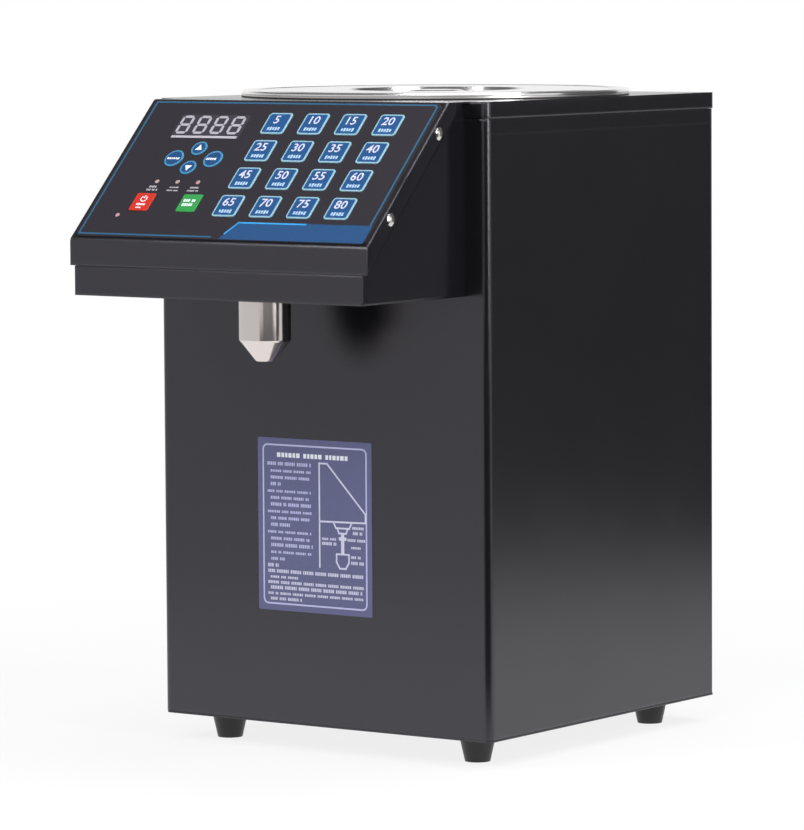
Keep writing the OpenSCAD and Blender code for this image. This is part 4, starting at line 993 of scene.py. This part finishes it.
# %% [markdown]
# ## Cards in the reflections
# Cards stand round the machine and show only in reflections, which is the usual way to draw
# the edges of a dark and shiny product. The grey one, behind on the right, is what the side
# mirrors. Two black ones low at the front right and a small one close to the casing darken
# the front's right bend. The last one, behind the nozzle, is black only in the middle and
# clear at its edges, and deepens the soft dark patch that the nozzle leaves in the front.

# %% Cards
grey_card = surface("grey_flag_card", "545456", Roughness=0.9)[0]
black_card = surface("black_flag_card", "161616", Roughness=0.9)[0]

SPOT_X, SPOT_OUT, SPOT_Z = 0.008, 0.115, 0.302      # middle of the soft spot, in metres
SPOT_WIDE, SPOT_TALL = 30 * MM, 43 * MM             # its reach to the side and up or down
SPOT_FROM, SPOT_TO = 0.4, 1.15                      # parts of that reach over which it fades
soft_card, soft_shader, soft_place = surface("soft_black_card", "161616", Roughness=0.9)
spot = add(soft_card, "ShaderNodeMapping",
           {"Vector": soft_place, "Scale": (1 / SPOT_WIDE, 0, 1 / SPOT_TALL),
            "Location": (-SPOT_X / SPOT_WIDE, 0, -SPOT_Z / SPOT_TALL)})
from_middle = add(soft_card, "ShaderNodeVectorMath", {0: spot.outputs["Vector"]},
                  operation="LENGTH")
fade = add(soft_card, "ShaderNodeMapRange",
           {"Value": from_middle.outputs["Value"], "From Min": SPOT_FROM, "From Max": SPOT_TO,
            "To Min": 1.0, "To Max": 0.0}, interpolation_type="SMOOTHSTEP")
clear = add(soft_card, "ShaderNodeBsdfTransparent")
spot_mix = add(soft_card, "ShaderNodeMixShader",
               {"Fac": fade.outputs["Result"],
                1: clear.outputs["BSDF"], 2: soft_shader.outputs["BSDF"]})
show(soft_card, spot_mix)


def flag(name, material, azimuth, distance, width, height, shift=0, low=0):
    """An upright card, seen only in reflections.

    It faces the machine from an azimuth in degrees, 0 in front and 90 on the right, at a
    distance in metres. It is moved sideways by shift, and its lower edge is at low.
    """
    turn = Matrix.Rotation(math.radians(azimuth), 4, "Z")
    middle = Matrix.Translation((shift, -distance, low + height / 2))
    place = turn @ middle @ Matrix.Rotation(math.pi / 2, 4, "X")
    card = stage_sheet(name, material, place, width, height)
    card.visible_camera = card.visible_diffuse = card.visible_shadow = False


flag("right_flag", grey_card, 140, 1.25, 1.3, 1.7)
flag("low_flag", black_card, 40.6, 0.394, 0.553, 0.27, shift=0.044)
flag("far_flag", black_card, 48, 2.2, 1.65, 0.2)
flag("bend_flag", black_card, 40, 0.2136, 0.08, 0.16, shift=0.0492, low=0.27)
flag("spout_flag", soft_card, 0, SPOT_OUT, 0.07, 0.1, shift=SPOT_X, low=SPOT_Z - 0.05)

# %% [markdown]
# ## Lamps
# A soft box high on the left is the key light, a larger and dimmer one fills in from the
# front, and one overhead lights the lid. A box high on the right brightens the edge of the
# slope, and a narrow strip straight out to the right draws the bright line down the upper
# part of the casing's front bend. Lamps are given as brightness, so that 1 is white.

# %% Lamps
def soft_box(name, at, width, height, brightness, aim=(0, 0, 0.22)):
    """An area lamp whose face looks as bright as the given number, where 1 is white."""
    lamp = bpy.data.lights.new(name, "AREA")
    lamp.shape, lamp.size, lamp.size_y = "RECTANGLE", width, height
    lamp.energy = brightness * math.pi * width * height
    holder = bpy.data.objects.new(name, lamp)
    turn = (Vector(aim) - Vector(at)).to_track_quat("-Z", "Y").to_matrix().to_4x4()
    holder.matrix_world = Matrix.Translation(at) @ turn
    bpy.context.scene.collection.objects.link(holder)
    return holder


soft_box("key_light", (-1.1, -1.9, 2.2), 1.0, 1.0, 9.0)
soft_box("right_strip", (1.37, -0.3, 0.8), 0.2, 1.0, 12.0, (0.1, -0.1, 0.8))
soft_box("top_light", (0.1, 0.2, 1.9), 0.9, 0.9, 7.0)
soft_box("fill_light", (0.9, -2.3, 1.7), 1.2, 1.2, 5.0)
soft_box("edge_light", (1.5, 0.0, 2.1), 0.9, 0.9, 8.0)
print("lamps:", [lamp.name for lamp in bpy.data.lights])

# %% [markdown]
# ## Colour transform
# The colour transform is the plain one, so colours come out as written.

# %% Finish
bpy.context.scene.view_settings.view_transform = "Standard"
